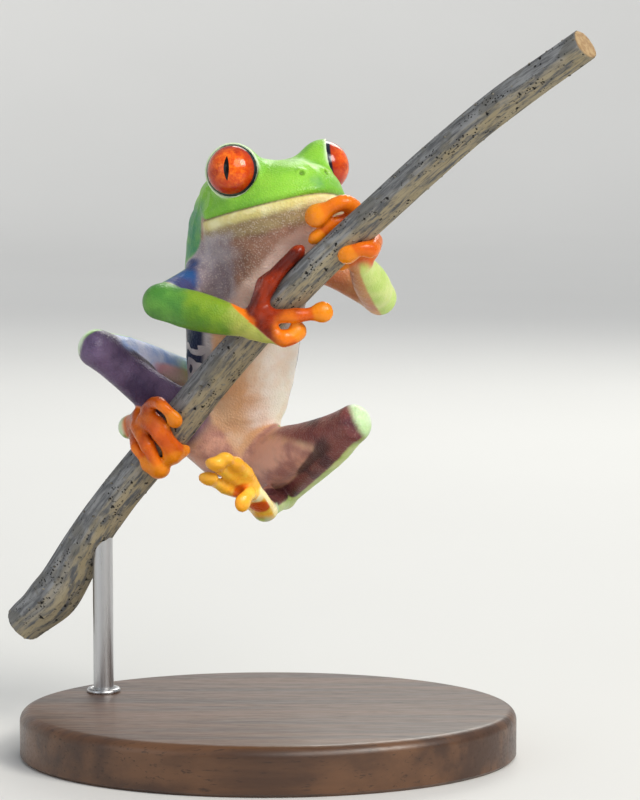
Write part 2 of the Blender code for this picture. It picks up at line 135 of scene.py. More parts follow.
# %% Web helper
class Web:
    """Adds nodes to one node tree and joins them in a line of code each."""

    def __init__(self, tree):
        self.tree = tree

    def add(self, kind, values=None, **settings):
        node = self.tree.nodes.new(kind)
        for key, value in settings.items():
            setattr(node, key, value)
        for key, value in (values or {}).items():
            self.feed(node.inputs[key], value)
        return node

    def feed(self, socket, value):
        if isinstance(value, bpy.types.NodeSocket):
            self.tree.links.new(value, socket)
        elif isinstance(value, tuple) and socket.type == "RGBA" and len(value) == 3:
            socket.default_value = (*value, 1)
        else:
            socket.default_value = value

    def math(self, operation, a, b=0.0):
        return self.add("ShaderNodeMath", {0: a, 1: b}, operation=operation).outputs[0]

    def plus(self, a, b):
        return self.math("ADD", a, b)

    def minus(self, a, b):
        return self.math("SUBTRACT", a, b)

    def times(self, a, b):
        return self.math("MULTIPLY", a, b)

    def mix(self, share, a, b):
        made = self.add("ShaderNodeMix", data_type="RGBA")
        self.feed(made.inputs["Factor"], share)
        self.feed(made.inputs["A"], a)
        self.feed(made.inputs["B"], b)
        return [s for s in made.outputs if s.type == "RGBA"][0]

    def tint(self, colour, share, strength, over):
        """Lays one plain colour over another at part of its strength."""
        return self.mix(self.times(share, strength), colour, over)

    def blend(self, pattern, low, high, a, b):
        """Colour a where a pattern is below low, colour b where it is above high."""
        return self.mix(self.span(pattern, low, high), a, b)

    def span(self, value, low, high, to_low=0.0, to_high=1.0):
        made = self.add(
            "ShaderNodeMapRange",
            {"Value": value, "From Min": low, "From Max": high, "To Min": to_low, "To Max": to_high},
            interpolation_type="SMOOTHSTEP",
        )
        return made.outputs[0]

    def noise(self, vector, scale, detail=3.0, rough=0.55):
        values = {"Vector": vector, "Scale": scale, "Detail": detail, "Roughness": rough}
        return self.add("ShaderNodeTexNoise", values).outputs["Fac"]

    def attribute(self, name, kind="Fac"):
        return self.add("ShaderNodeAttribute", attribute_name=name).outputs[kind]

    def vector(self, operation, a, b, result="Vector"):
        return self.add("ShaderNodeVectorMath", {0: a, 1: b}, operation=operation).outputs[result]

    def bump(self, shader, height, strength, depth):
        """Raises a pattern on the shader's surface, by a depth in millimetres."""
        values = {"Strength": strength, "Distance": depth * MM, "Height": height}
        self.feed(shader.inputs["Normal"], self.add("ShaderNodeBump", values).outputs["Normal"])

    def place(self):
        return self.add("ShaderNodeTexCoord").outputs["Object"]

    def shape(self, kind, geometry, **values):
        """Passes a shape through one geometry node."""
        return self.add(f"GeometryNode{kind}", {"Geometry": geometry, **values}).outputs["Geometry"]

    def group(self, tree, **values):
        made = self.add("ShaderNodeGroup", node_tree=tree)
        for key, value in values.items():
            self.feed(made.inputs[key.replace("_", " ")], value)
        return made.outputs


print("web helper ready")


# %% Materials and groups
def new_material(name, **constants):
    """A material with its Principled BSDF, and that shader's steady values set on its sockets."""
    made = bpy.data.materials.new(name)
    made.use_nodes = True
    shader = made.node_tree.nodes["Principled BSDF"]
    web = Web(made.node_tree)
    for key, value in constants.items():
        web.feed(shader.inputs[key.replace("_", " ")], value)
    return made, web, shader


def new_group(name, inputs, outputs):
    """A shader node group with named sockets: (name, type) or (name, type, default)."""
    tree = bpy.data.node_groups.new(name, "ShaderNodeTree")
    for label, kind, *value in inputs:
        socket = tree.interface.new_socket(label, in_out="INPUT", socket_type=f"NodeSocket{kind}")
        if value:
            socket.default_value = value[0]
    for label, kind in outputs:
        tree.interface.new_socket(label, in_out="OUTPUT", socket_type=f"NodeSocket{kind}")
    web = Web(tree)
    return tree, web, web.add("NodeGroupInput").outputs, web.add("NodeGroupOutput").inputs


print("material helpers ready")

# %% Floor and backdrop
FLOOR_FLAT = 1300.0  # millimetres of level floor before it curls up
FLOOR_RISE = 900.0
FLOOR_COLOUR = (0.72, 0.715, 0.70)

floor_rows = [(0.02, 0.0), (FLOOR_FLAT, 0.0)]
for degrees in range(10, 91, 10):
    bend = math.radians(degrees)
    floor_rows.append((FLOOR_FLAT + FLOOR_RISE * math.sin(bend), FLOOR_RISE * (1 - math.cos(bend))))
turns = np.linspace(0, 2 * math.pi, 96, endpoint=False)
floor_points = [(r * math.cos(a), r * math.sin(a), z) for r, z in floor_rows for a in turns]
floor = add_mesh("floor", floor_points, grid_faces(len(floor_rows), len(turns)))
floor_look, web, shader = new_material("pale floor", Roughness=0.75, Specular_IOR_Level=0.25)
darker = tuple(0.97 * c for c in FLOOR_COLOUR)
floor_shade = web.blend(web.noise(web.place(), 3.0), 0.3, 0.7, FLOOR_COLOUR, darker)
web.feed(shader.inputs["Base Color"], floor_shade)
paint(floor, floor_look)
print("floor reaches", FLOOR_FLAT + FLOOR_RISE, "mm out")

# %% Lights
LIGHTS = {  # place in millimetres, side of its square, watts, colour
    "key": ((380, -330, 470), 240, 2.2, (1.0, 0.96, 0.88)),
    "fill": ((-520, -420, 240), 420, 0.5, (0.88, 0.94, 1.0)),
    "back": ((120, 520, 430), 300, 1.4, (1.0, 0.99, 0.92)),
}
DAY_FROM, DAY_STRENGTH = (0.5, -0.75, 0.6), 2.0  # a wide even light over model and backdrop


def add_light(name, kind, watts, colour):
    light_data = bpy.data.lights.new(name, kind)
    light_data.energy = watts
    light_data.color = colour
    return put(name, light_data)


for name, (place, side, watts, colour) in LIGHTS.items():
    light = add_light(name, "AREA", watts, colour)
    light.data.size = side * MM
    light.location = Vector(place) * MM
    light.rotation_euler = (AIM - light.location).to_track_quat("-Z", "Y").to_euler()
day = add_light("day", "SUN", DAY_STRENGTH, (1.0, 0.985, 0.95))
day.data.angle = math.radians(50)
day.rotation_euler = Vector(DAY_FROM).to_track_quat("Z", "Y").to_euler()
# Standard shows each colour at the strength it is given. Blender's default fades bright ones.
bpy.context.scene.view_settings.view_transform = "Standard"
world = bpy.data.worlds.new("studio")
world.use_nodes = True
world.node_tree.nodes["Background"].inputs["Color"].default_value = (0.88, 0.93, 1.0, 1)
world.node_tree.nodes["Background"].inputs["Strength"].default_value = 0.4
bpy.context.scene.world = world
print("lights:", ", ".join(LIGHTS))

# %% [markdown]
# ## The frog's frame of bones
# A frog's skin follows its bones closely, so the skin is worked out from the same spine,
# joints and digits as the solids. Each limb is a path with half sizes across and through.

# %% Head and trunk sizes
HEAD_AT = np.array((-5.9, 3.6, 85.0))  # midway between the two eyeballs
HEAD_YAW = math.radians(36.3)
HEAD_PITCH = math.radians(13.7)
EYE_RADIUS = 3.75
EYE_SIDE = 7.9
EYE_DROPS = {"r": 0.4, "l": 0.0}  # the head is rolled a little
EYE_AZIMUTH = math.radians(50)
RIM_OUT = 0.95  # plane of the eyelid rim, out from the eyeball's centre
SNOUT, MOUTH_CORNER, OCCIPUT = 9.5, -5.0, -9.5
MOUTH_LEVEL = -6.3
HEAD_HALF, HEAD_RISE, THROAT_DROP = 10.1, 7.6, 8.6

SPINE = (
    (-12.4, 19.0, 43.6),
    (-12.0, 17.4, 50.2),
    (-11.5, 15.6, 57.1),
    (-11.0, 13.3, 63.9),
    (-10.3, 10.9, 70.7),
    (-10.0, 9.3, 76.4),
    (-10.2, 9.0, 81.2),
)
TRUNK_HALVES = (5.3, 7.4, 8.4, 8.8, 9.4, 9.2, 7.2)
TRUNK_BACKS = (4.0, 5.0, 5.8, 6.2, 6.5, 6.0, 3.6)
TRUNK_FRONTS = (4.4, 5.6, 6.5, 6.7, 6.8, 5.8, 3.4)
PELVIS_YAW, SHOULDER_YAW = math.radians(18), math.radians(14)

FORWARD = np.array((
    math.sin(HEAD_YAW) * math.cos(HEAD_PITCH),
    -math.cos(HEAD_YAW) * math.cos(HEAD_PITCH),
    math.sin(HEAD_PITCH),
))
LEFT = np.array((math.cos(HEAD_YAW), math.sin(HEAD_YAW), 0))
CROWN = np.cross(FORWARD, LEFT)
HEAD_AXES = np.array((FORWARD, LEFT, CROWN))


def at_head(x, y, z):
    return HEAD_AT + x * FORWARD + y * LEFT + z * CROWN


EYES = {}
for side, way in (("r", -1), ("l", 1)):
    gaze = math.cos(EYE_AZIMUTH) * FORWARD + way * math.sin(EYE_AZIMUTH) * LEFT
    EYES[side] = (at_head(0, way * EYE_SIDE, -EYE_DROPS[side]), gaze)
print("eyes at", {side: eye[0].round(1).tolist() for side, eye in EYES.items()})

# %% Limbs, hands and feet
JOINTS = {
    "r": {
        "shoulder": (-16.3, 6.2, 69.5), "elbow": (-22.7, -3.1, 66.3), "wrist": (-9.7, -7.2, 63.3),
        "hip": (-14.8, 17.8, 43.0), "knee": (-32.3, 4.0, 59.1), "ankle": (-17.6, 24.8, 52.9),
        "heel": (-28.1, 13.0, 46.6),
    },
    "l": {
        "shoulder": (-2.8, 8.6, 72.6), "elbow": (8.6, 4.9, 66.3), "wrist": (5.5, -6.5, 71.9),
        "hip": (-9.6, 19.7, 40.2), "knee": (4.8, -2.8, 48.9), "ankle": (-5.4, 19.9, 35.3),
        "heel": (-8.0, 4.2, 35.5),
    },
}
BONES = {  # first joint, last joint, half sizes along it, thickness as a share, blend with the rest
    "thigh": ("hip", "knee", (4.4, 4.1, 3.2, 2.7, 2.5), 0.9, 2.2),
    "shank": ("knee", "ankle", (2.5, 2.9, 2.6, 2.1, 1.7), 0.9, 1.1),
    "tarsus": ("ankle", "heel", (1.7, 1.55, 1.5, 1.6), 1.0, 1.1),
    "upper_arm": ("shoulder", "elbow", (2.4, 2.2, 2.2), 1.0, 3.2),
    "forearm": ("elbow", "wrist", (2.3, 2.75, 2.7, 2.3, 1.7), 0.9, 1.1),
}
PALMS = {  # path from wrist or heel to knuckles, half width, half thickness, way it presses
    "hand_r": (((-9.7, -7.2, 63.3), (-8.3, -7.6, 63.5), (-7.2, -7.9, 63.7)), 2.8, 1.2, (0.3, 0.9, -0.1)),
    "hand_l": (((5.5, -6.5, 71.9), (6.4, -7.1, 73.6), (7.0, -7.7, 75.2)), 1.9, 1.2, (-0.1, 0.9, 0.3)),
    "foot_r": (((-28.1, 13.0, 46.6), (-26.8, 9.8, 47.4), (-26.2, 7.9, 48.2)), 2.0, 1.2, (0.5, 0.8, -0.1)),
    "foot_l": (((-8.0, 4.2, 35.5), (-9.4, 1.4, 37.4), (-10.5, -0.7, 39.1)), 2.6, 1.3, (-0.3, -0.6, -0.7)),
}
print("limb bones:", len(BONES) * len(JOINTS), "palms:", len(PALMS))

# %% Digits
DIGITS = {  # knuckle, two joints and tip, then the radius of the disc
    "finger_r_1": ((-8.9, -6.7, 65.0), (-8.0, -6.2, 67.8), (-6.0, -5.2, 70.2), (-4.2, -5.2, 71.6), 1.0),
    "finger_r_2": ((-8.7, -7.2, 65.6), (-7.5, -7.5, 68.3), (-5.1, -7.4, 70.8), (-2.9, -7.9, 73.2), 1.1),
    "finger_r_3": ((-7.4, -7.9, 64.6), (-4.3, -8.6, 64.7), (-1.7, -8.5, 64.9), (0.2, -8.4, 65.2), 1.5),
    "finger_r_4": ((-7.7, -7.6, 62.6), (-5.6, -8.0, 61.6), (-4.0, -7.9, 61.6), (-3.2, -7.5, 62.4), 1.25),
    "finger_l_1": ((5.6, -8.0, 73.7), (4.9, -7.6, 73.0), (4.1, -6.9, 72.3), (3.4, -6.4, 71.7), 0.95),
    "finger_l_2": ((5.9, -7.4, 75.1), (4.3, -7.1, 77.3), (2.0, -7.8, 77.9), (-0.5, -7.9, 75.6), 1.05),
    "finger_l_3": ((6.5, -7.7, 75.8), (5.1, -7.9, 79.0), (3.2, -9.3, 80.5), (-0.3, -8.8, 78.8), 1.75),
    "finger_l_4": ((7.6, -8.9, 75.2), (7.2, -11.3, 74.6), (5.8, -13.0, 74.0), (4.1, -13.3, 73.0), 1.4),
    "toe_r_1": ((-25.2, 6.4, 49.8), (-24.0, 3.9, 51.3), (-22.5, 1.6, 50.9), (-21.2, 1.2, 48.9), 1.15),
    "toe_r_2": ((-25.6, 6.2, 48.5), (-23.7, 3.4, 47.2), (-22.5, 3.1, 45.3), (-21.1, 4.1, 43.2), 1.6),
    "toe_r_3": ((-24.9, 5.4, 49.6), (-23.0, 3.1, 48.0), (-21.7, 3.4, 46.0), (-19.8, 5.6, 44.0), 0.9),
    "toe_r_4": ((-26.6, 7.2, 47.4), (-25.4, 4.4, 45.5), (-24.5, 4.0, 43.6), (-23.3, 5.0, 41.1), 1.6),
    "toe_r_5": ((-27.3, 9.4, 45.9), (-26.9, 7.0, 44.9), (-25.9, 5.3, 43.2), (-25.1, 5.2, 41.9), 0.9),
    "toe_l_1": ((-9.6, -1.6, 38.6), (-9.9, -3.3, 39.0), (-10.3, -4.5, 38.9), (-10.9, -5.2, 38.0), 1.3),
    "toe_l_2": ((-9.6, -1.7, 40.1), (-10.2, -3.6, 41.7), (-10.9, -5.2, 42.9), (-11.8, -6.8, 43.8), 1.0),
    "toe_l_3": ((-10.2, -1.9, 40.2), (-11.3, -4.6, 42.3), (-12.2, -6.9, 43.6), (-13.2, -9.0, 44.7), 1.15),
    "toe_l_4": ((-11.0, -1.9, 39.9), (-12.3, -4.4, 41.3), (-13.5, -6.8, 42.6), (-14.7, -9.2, 43.9), 1.35),
    "toe_l_5": ((-11.6, -1.6, 38.9), (-13.1, -3.6, 39.6), (-14.4, -5.3, 40.6), (-15.7, -7.2, 41.6), 1.35),
}
DIGIT_RADIUS = 0.9
THICK_DIGITS = {  # these are so many times as thick
    "finger_r_1": 1.3, "finger_r_2": 1.35, "finger_r_3": 1.12, "finger_r_4": 1.3,
    "finger_l_2": 1.2, "finger_l_3": 1.4, "finger_l_4": 1.25,
    "toe_r_2": 1.15, "toe_r_4": 1.15, "toe_r_5": 0.8,
}
print("digits:", len(DIGITS))

# %% Line of the twig
TWIG = (  # centre line from the lower cut end, with its radius
    (-45.0, 20.7, 15.6, 2.9),
    (-39.3, 18.4, 21.4, 3.5),
    (-32.2, 13.1, 33.1, 2.95),
    (-22.6, 7.4, 45.4, 2.8),
    (-12.3, 0.7, 58.4, 2.6),
    (-2.4, -7.2, 69.5, 2.4),
    (5.4, -10.9, 77.1, 2.35),
    (21.1, -21.5, 91.6, 2.3),
    (34.6, -30.5, 101.9, 2.15),
)
print("twig through", len(TWIG), "points")


# %% Curves through the joints
def unit(v):
    v = np.asarray(v, float)
    return v / np.linalg.norm(v, axis=-1, keepdims=True)


def spline(points, count):
    """Evenly counted samples of a smooth curve through the rows, in all their columns."""
    rows = np.array(points, float)
    rows = np.vstack([2 * rows[0] - rows[1], rows, 2 * rows[-1] - rows[-2]])
    place = np.linspace(0, len(rows) - 3, count)
    i = np.minimum(place.astype(int), len(rows) - 4)
    t = (place - i)[:, None]
    a, b, c, d = rows[i], rows[i + 1], rows[i + 2], rows[i + 3]
    curve = 2 * b + (c - a) * t + (2 * a - 5 * b + 4 * c - d) * t**2
    return 0.5 * (curve + (3 * b - a - 3 * c + d) * t**3)


def directions(path, broad_to):
    """Unit vectors across and through a path, the first lying as near broad_to as it can."""
    tangents = unit(np.gradient(path, axis=0))
    broad = np.broadcast_to(np.asarray(broad_to, float), tangents.shape)
    across = unit(broad - (broad * tangents).sum(1)[:, None] * tangents)
    return across, np.cross(tangents, across)


def ramp(value, low, high):
    """0 below low and 1 above high, with a smooth rise between."""
    t = np.clip((value - low) / (high - low), 0, 1)
    return t * t * (3 - 2 * t)


def bell(value, width):
    """1 where a value is 0, fading to both sides within a width."""
    return np.exp(-((value / width) ** 2))


twig_path = spline(TWIG, 161)
print("twig length", round(float(np.linalg.norm(np.diff(twig_path[:, :3], axis=0), axis=1).sum()), 1), "mm")

# %% [markdown]
# ## Distances to each part of the body
# To get one skin with soft folds and no seams, each body part is written as a distance: how
# far any point in space lies from its surface, negative inside. Two distances join with a
# smooth minimum, which makes the fillet that real skin makes at a shoulder or a hip.


# %% Distance to a tube
def tube_distance(points, tube):
    """Signed distance to a tube of (path, wide, rise, drop, across, up), round at both ends."""
    path, wide, rise, drop, across, up = tube
    best = np.full(len(points), np.inf, np.float32)
    for i in range(len(path) - 1):
        span = path[i + 1] - path[i]
        t = np.clip((points - path[i]) @ span / (span @ span), 0, 1)[:, None]
        away = points - (path[i] + t * span)
        x, y = ((away * (rows[i] * (1 - t) + rows[i + 1] * t)).sum(1) for rows in (across, up))
        z = away @ unit(span)
        t = t[:, 0]
        w, high, low = (row[i] * (1 - t) + row[i + 1] * t for row in (wide, rise, drop))
        h = np.where(y > 0, high, low)
        k = np.sqrt((x / w) ** 2 + (y / h) ** 2 + (z / np.minimum(w, h)) ** 2) + 1e-6
        best = np.minimum(best, np.sqrt((away**2).sum(1)) * (1 - 1 / k))
    return best


def tube_box(tube):
    path, wide, rise, drop, *_ = tube
    reach = np.maximum(np.maximum(wide, rise), drop)[:, None]
    return (path - reach).min(0), (path + reach).max(0)


def make_tube(path, wide, thick, broad_to):
    across, up = directions(path, broad_to)
    return path, np.array(wide), np.array(thick), np.array(thick), across, up


print("tube helpers ready")

# %% Trunk, limbs and palms as tubes
trunk_rows = spline(np.column_stack([SPINE, TRUNK_HALVES, TRUNK_BACKS, TRUNK_FRONTS]), 13)
trunk_yaws = np.linspace(PELVIS_YAW, SHOULDER_YAW, len(trunk_rows))
trunk_sides = np.column_stack([np.cos(trunk_yaws), np.sin(trunk_yaws), 0 * trunk_yaws])
trunk_across, trunk_up = directions(trunk_rows[:, :3], (0, 0, 0) + trunk_sides)
trunk_up = -trunk_up if trunk_up[0] @ (0, 1, 0) < 0 else trunk_up
TUBES = {"trunk": (trunk_rows[:, :3], *trunk_rows[:, 3:].T, trunk_across, trunk_up)}
for side, joints in JOINTS.items():
    for bone, (first, last, radii, flat, _) in BONES.items():
        shares = np.linspace(0, 1, 9)
        path = np.outer(1 - shares, joints[first]) + np.outer(shares, joints[last])
        tall = spline(np.array(radii)[:, None], len(path))[:, 0]
        TUBES[f"{bone}_{side}"] = make_tube(path, tall, tall * flat, (0, 0, 1))
for palm, (points, wide, thick, face) in PALMS.items():
    path = spline(points, 5)
    wides = wide * np.array((0.72, 0.85, 0.95, 1.0, 0.95))
    TUBES[palm] = make_tube(path, wides, np.full(5, thick), np.cross(path[-1] - path[0], face))
print("tubes:", len(TUBES))


# %% Digits that settle on the twig
def to_twig(points):
    """Way to the twig's nearest centre point, distance to it, and the twig's radius there."""
    gaps = twig_path[None, :, :3] - points[:, None]
    nearest = np.linalg.norm(gaps, axis=2).argmin(1)
    way = gaps[np.arange(len(points)), nearest]
    return unit(way), np.linalg.norm(way, axis=1), twig_path[nearest, 3]


PAD_FACES = {  # where a pad looks that isn't laid on the bark
    "finger_r_3": (-0.1, 1.0, -0.1),
    "finger_r_4": (-0.2, 1.0, 0.1),
    "finger_l_3": (0.75, 0.65, -0.1),
}
REST_NEAR = 1.6  # a joint this close to the bark is laid on it
SINK = 0.08  # how far a pad presses into the bark
DISCS = {}
for name, (*points, disc) in DIGITS.items():
    path = spline(points, 10)
    shares = np.linspace(0, 1, len(path))
    stem = DIGIT_RADIUS * (1.05 - 0.2 * shares + 0.14 * bell(shares - 0.45, 0.1))
    stem = stem * THICK_DIGITS.get(name, 1)
    limb = ("hand_" if name.startswith("finger") else "foot_") + name.split("_")[1]
    face = np.tile(PALMS[limb][3], (len(path), 1)).astype(float)
    if name in PAD_FACES:
        face = np.tile(PAD_FACES[name], (len(path), 1))
    elif limb != "foot_l":
        way, far, radius = to_twig(path)
        gap = far - radius - stem
        near = ramp(REST_NEAR - gap, 0, 0.8) * ramp(shares, 0.1, 0.45)
        path = path + way * (near * (gap + SINK))[:, None]
        face = way
    heading = unit(path[-1] - path[-2])
    TUBES[name] = make_tube(path, stem, stem * 0.92, np.cross(heading, face[-1]))
    normal = unit(face[-1] - heading * (face[-1] @ heading))
    DISCS[name] = (path[-1] + heading * 0.15 * disc, heading, np.cross(normal, heading), normal, disc)
print("discs:", len(DISCS))


# %% Distance to a disc: a round pad, domed on its back, with a groove round its edge
def disc_distance(points, disc):
    centre, heading, across, normal, radius = disc
    away = points - centre
    x, y, z = away @ heading, away @ across, away @ normal
    k = np.sqrt((x / (radius * 0.98)) ** 2 + (y / radius) ** 2 + (z / (radius * 0.56)) ** 2) + 1e-6
    groove = 0.07 * bell(z - 0.12 * radius, 0.09) * ramp(x, -0.3 * radius, 0.2 * radius)
    return np.sqrt((away**2).sum(1)) * (1 - 1 / k) + groove


print("disc distance ready")

# %% [markdown]
# ## The head
# A tree frog's head is wide and blunt, with a flat mouth line from snout to jaw corner and
# eyes that stand up on mounds. It is written as one rounded shape, narrowing ahead of the
# jaw corner. The mounds, nostrils, ear disc and folds are then added as small terms.


# %% Shape of the skull and jaw
def head_local(points):
    return (points - HEAD_AT) @ HEAD_AXES.T


def mouth_height(x):
    """Height of the mouth line, in the head's frame, at a place along the head."""
    ahead = np.clip((x - MOUTH_CORNER) / (SNOUT - MOUTH_CORNER), 0, 1.2)
    return MOUTH_LEVEL + 0.6 * ahead**4


def skull_value(points):
    """Below 0 inside the head, above 0 outside. It isn't a distance yet."""
    x, y, z = head_local(points).T
    ahead = np.clip((x - MOUTH_CORNER) / (SNOUT - MOUTH_CORNER), 0, None)
    behind = np.clip((MOUTH_CORNER - x) / (MOUTH_CORNER - OCCIPUT), 0, None)
    z = z - mouth_height(x)
    tall = np.where(z > 0, HEAD_RISE, THROAT_DROP) * (1 + 0.18 * np.clip(behind, 0, 1))
    v, w = np.abs(y) / HEAD_HALF, np.abs(z) / tall
    steep = w / (v + w + 1e-6)
    power = 1.9 + np.where(z > 0, 0.55, -0.3) * steep**2
    section = 2.15 + 0.25 * np.tanh(z)
    across = (v**section + w**section) ** (1 / section)
    return across**power + ahead**power + (0.72 * behind) ** 2.2 - 1


print("head", round(SNOUT - OCCIPUT, 1), "mm long,", 2 * HEAD_HALF, "mm wide")

# %% Turning values into distances, and joining them
STEP = 0.05  # millimetres, for measuring how steep a value is


def with_slope(value, points):
    """Turns such a value into a distance, by its own steepness."""
    middle = value(points)
    slope = 0
    for axis in np.eye(3) * STEP:
        slope = slope + (value(points + axis) - middle) ** 2
    return middle * STEP / (np.sqrt(slope) + 1e-5)


def smooth_min(a, b, blend):
    share = np.clip(0.5 + 0.5 * (b - a) / blend, 0, 1)
    return b * (1 - share) + a * share - blend * share * (1 - share)


def ball_distance(points, centre, radius):
    return np.linalg.norm(points - centre, axis=1) - radius


print("joining helpers ready")

# %% Distance to the head
MOUND_RADIUS, MOUND_BACK = 3.98, -0.15
RIM_RING, RIM_THICK = 3.8, 0.15  # radius of the eyelid rim, and half its thickness
NOSTRIL = (8.08, 2.05, -2.5)  # ahead, aside and up from the head's centre
BROW, BROW_RADIUS = (-1.0, 4.8, -1.7), 3.1
EAR_X, EAR_Z, EAR_RING = -5.6, -3.6, 1.5
MOUTH_FOLDS = (  # height off the cheek, level over the mouth line, half width
    (-0.34, 0.0, 0.2),
    (0.16, 0.75, 0.6),
    (0.2, -0.95, 0.7),
)


def head_distance(points):
    x, y, z = head_local(points).T
    best = np.clip(with_slope(skull_value, points), -4, 4)
    for side, (centre, gaze) in EYES.items():
        way = 1 if side == "l" else -1
        out = (points - centre) @ gaze
        mound = ball_distance(points, centre - MOUND_BACK * gaze, MOUND_RADIUS)
        mound = np.maximum(mound, out - RIM_OUT)
        brow = ball_distance(points, at_head(BROW[0], way * BROW[1], BROW[2]), BROW_RADIUS)
        best = smooth_min(smooth_min(best, brow, 2.6), mound, 1.5)
        below_nostril = at_head(NOSTRIL[0] - 0.45, way * (NOSTRIL[1] - 0.2), NOSTRIL[2])
        best = smooth_min(best, ball_distance(points, below_nostril, 0.8), 0.4)
    aside = np.abs(y)
    # The ridge from the eye to the nostril stands a little proud of the cheek.
    along = np.clip((x - 2.5) / 5.0, 0, 1)
    ridge = np.hypot(aside - (5.4 - 2.8 * along), (z - (-0.4 - 0.9 * along)))
    best -= 0.1 * bell(ridge, 1.5) * ramp(x, 1.5, 3.5) * ramp(-x, -8.5, -6.5)
    # The mouth is a fine groove, with a full upper lip over it.
    over = z - mouth_height(x)
    in_front = ramp(x, MOUTH_CORNER - 1.2, MOUTH_CORNER + 0.3)
    for raised, level, wide in MOUTH_FOLDS:
        best -= in_front * raised * bell(over - level, wide)
    # The ear disc: a shallow dish inside a raised ring, and a fold that runs over it.
    ear = np.hypot(x - EAR_X, z - EAR_Z)
    on_side = ramp(aside, 6.5, 8.0)
    best += on_side * 0.16 * (bell(ear, 1.0) - bell(ear - EAR_RING, 0.35))
    fold = z + 1.2 + 0.16 * (x + 5) ** 2
    best -= on_side * 0.3 * bell(fold, 0.55) * ramp(-x, 4.0, 6.0)
    return best


print("head:", len(MOUTH_FOLDS), "folds along the mouth")


# %% Openings for the eyes and nostrils
def lid_cut(points, best):
    """Opens the eyelids over each eyeball and lays a fine rim round the opening."""
    for centre, gaze in EYES.values():
        out = (points - centre) @ gaze
        from_centre = np.linalg.norm(points - centre, axis=1)
        aside = np.sqrt(np.clip(from_centre**2 - out**2, 0, None))
        opening = np.maximum(RIM_OUT - out, aside - RIM_RING - 0.1)
        best = -smooth_min(-best, opening, 0.3)
        rim = np.hypot(aside - RIM_RING, out - RIM_OUT + 0.08) - RIM_THICK
        best = smooth_min(best, rim, 0.25)
        socket = np.minimum(EYE_RADIUS - 0.02 - from_centre, out - RIM_OUT + 0.7)  # solid further back
        best = np.maximum(best, socket)
    return best


def nostril_cut(points, best):
    for way in (1, -1):
        middle = at_head(NOSTRIL[0] + 0.2, way * (NOSTRIL[1] + 0.1), NOSTRIL[2])
        best = -smooth_min(-best, ball_distance(points, middle, 0.42), 0.12)
    return best


print("openings ready:", len(EYES), "eyes and 2 nostrils")

# %% [markdown]
# ## One skin over all the flesh
# The distances are gathered in a box of sample points, finer round the head. Where the
# joined distance crosses zero lies the skin, and a surface net lays faces along it. Wider
# blends go where flesh runs together, narrow ones where two parts only touch.

# %% Sample box
FINE, COARSE = 0.2, 0.32  # spacing of the samples round the head, and elsewhere
FLESH_LOW = np.array((-36.0, -15.6, 32.4))
FLESH_HIGH = np.array((12.2, 27.6, 91.0))
HEAD_LOW = np.array((-18.0, -7.5, 71.5))
HEAD_HIGH = np.array((5.0, 15.0, 90.5))


def stations(low, fine_low, fine_high, high):
    """Places along one axis, close together between fine_low and fine_high."""
    parts = []
    stretches = (low, fine_low, COARSE), (fine_low, fine_high, FINE), (fine_high, high, COARSE)
    for start, end, step in stretches:
        count = max(1, round((end - start) / step))
        parts.append(np.linspace(start, end, count, endpoint=False))
    return np.append(np.concatenate(parts), high)


axes = [stations(*row) for row in zip(FLESH_LOW, HEAD_LOW, HEAD_HIGH, FLESH_HIGH)]
shape = tuple(len(a) for a in axes)
field = np.full(shape, 3.0, np.float32)
MARGIN = 1.3  # how far beyond a part its distance is still worked out
print("samples:", shape, "=", round(field.size / 1e6, 1), "million")


def window(low, high):
    """The part of the sample box between two corners: its slices and its points."""
    cut = tuple(
        slice(max(np.searchsorted(a, lo) - 1, 0), np.searchsorted(a, hi) + 1)
        for a, lo, hi in zip(axes, low, high)
    )
    places = np.meshgrid(*(a[c] for a, c in zip(axes, cut)), indexing="ij")
    return cut, np.column_stack([p.ravel() for p in places])


def join(distance, box, blend):
    """Joins one body part's distance to the field, with a fillet as wide as blend."""
    reach = MARGIN + blend
    cut, points = window(box[0] - reach, box[1] + reach)
    found = distance(points).reshape(field[cut].shape)
    field[cut] = smooth_min(field[cut], found, blend)


def join_tube(name, blend):
    tube = TUBES[name]
    join(lambda points: tube_distance(points, tube), tube_box(tube), blend)

# %% Fill the sample box
TRUNK_BLEND, THROAT_BLEND, NECK_BLEND, PALM_BLEND, DISC_BLEND = 0.1, 2.5, 2.6, 0.9, 0.9
WEB_BLENDS = {"toe_l": 0.8, "toe_r": 0.5, "finger_l": 0.9, "finger_r": 0.8}
THROAT = (((-3.4, 1.2, 75.6), (-6.6, 3.2, 70.5), (-9.0, 6.0, 64.5)), (5.6, 6.3, 5.4))
CALF_END, CALF_RADIUS = np.array((-7.7, 13.3, 36.8)), 1.0  # where the left calf rests on the thigh

throat_path = spline(THROAT[0], 6)
throat_radii = spline(np.array(THROAT[1])[:, None], 6)[:, 0]
TUBES["throat"] = make_tube(throat_path, throat_radii, throat_radii * 0.9, (1, 0.25, 0))
join_tube("trunk", TRUNK_BLEND)
join_tube("throat", THROAT_BLEND)
join(head_distance, (HEAD_LOW + 1, HEAD_HIGH - 1), NECK_BLEND)
for bone, (*_, blend) in BONES.items():
    for side in JOINTS:
        join_tube(f"{bone}_{side}", blend)
for palm in PALMS:
    join_tube(palm, PALM_BLEND)
for name, disc in DISCS.items():
    join_tube(name, WEB_BLENDS[name[:-2]])
    centre, *_, radius = disc
    join(lambda p, disc=disc: disc_distance(p, disc), (centre - radius, centre + radius), DISC_BLEND)
calf_box = CALF_END - CALF_RADIUS, CALF_END + CALF_RADIUS
join(lambda p: ball_distance(p, CALF_END, CALF_RADIUS), calf_box, 0.8)

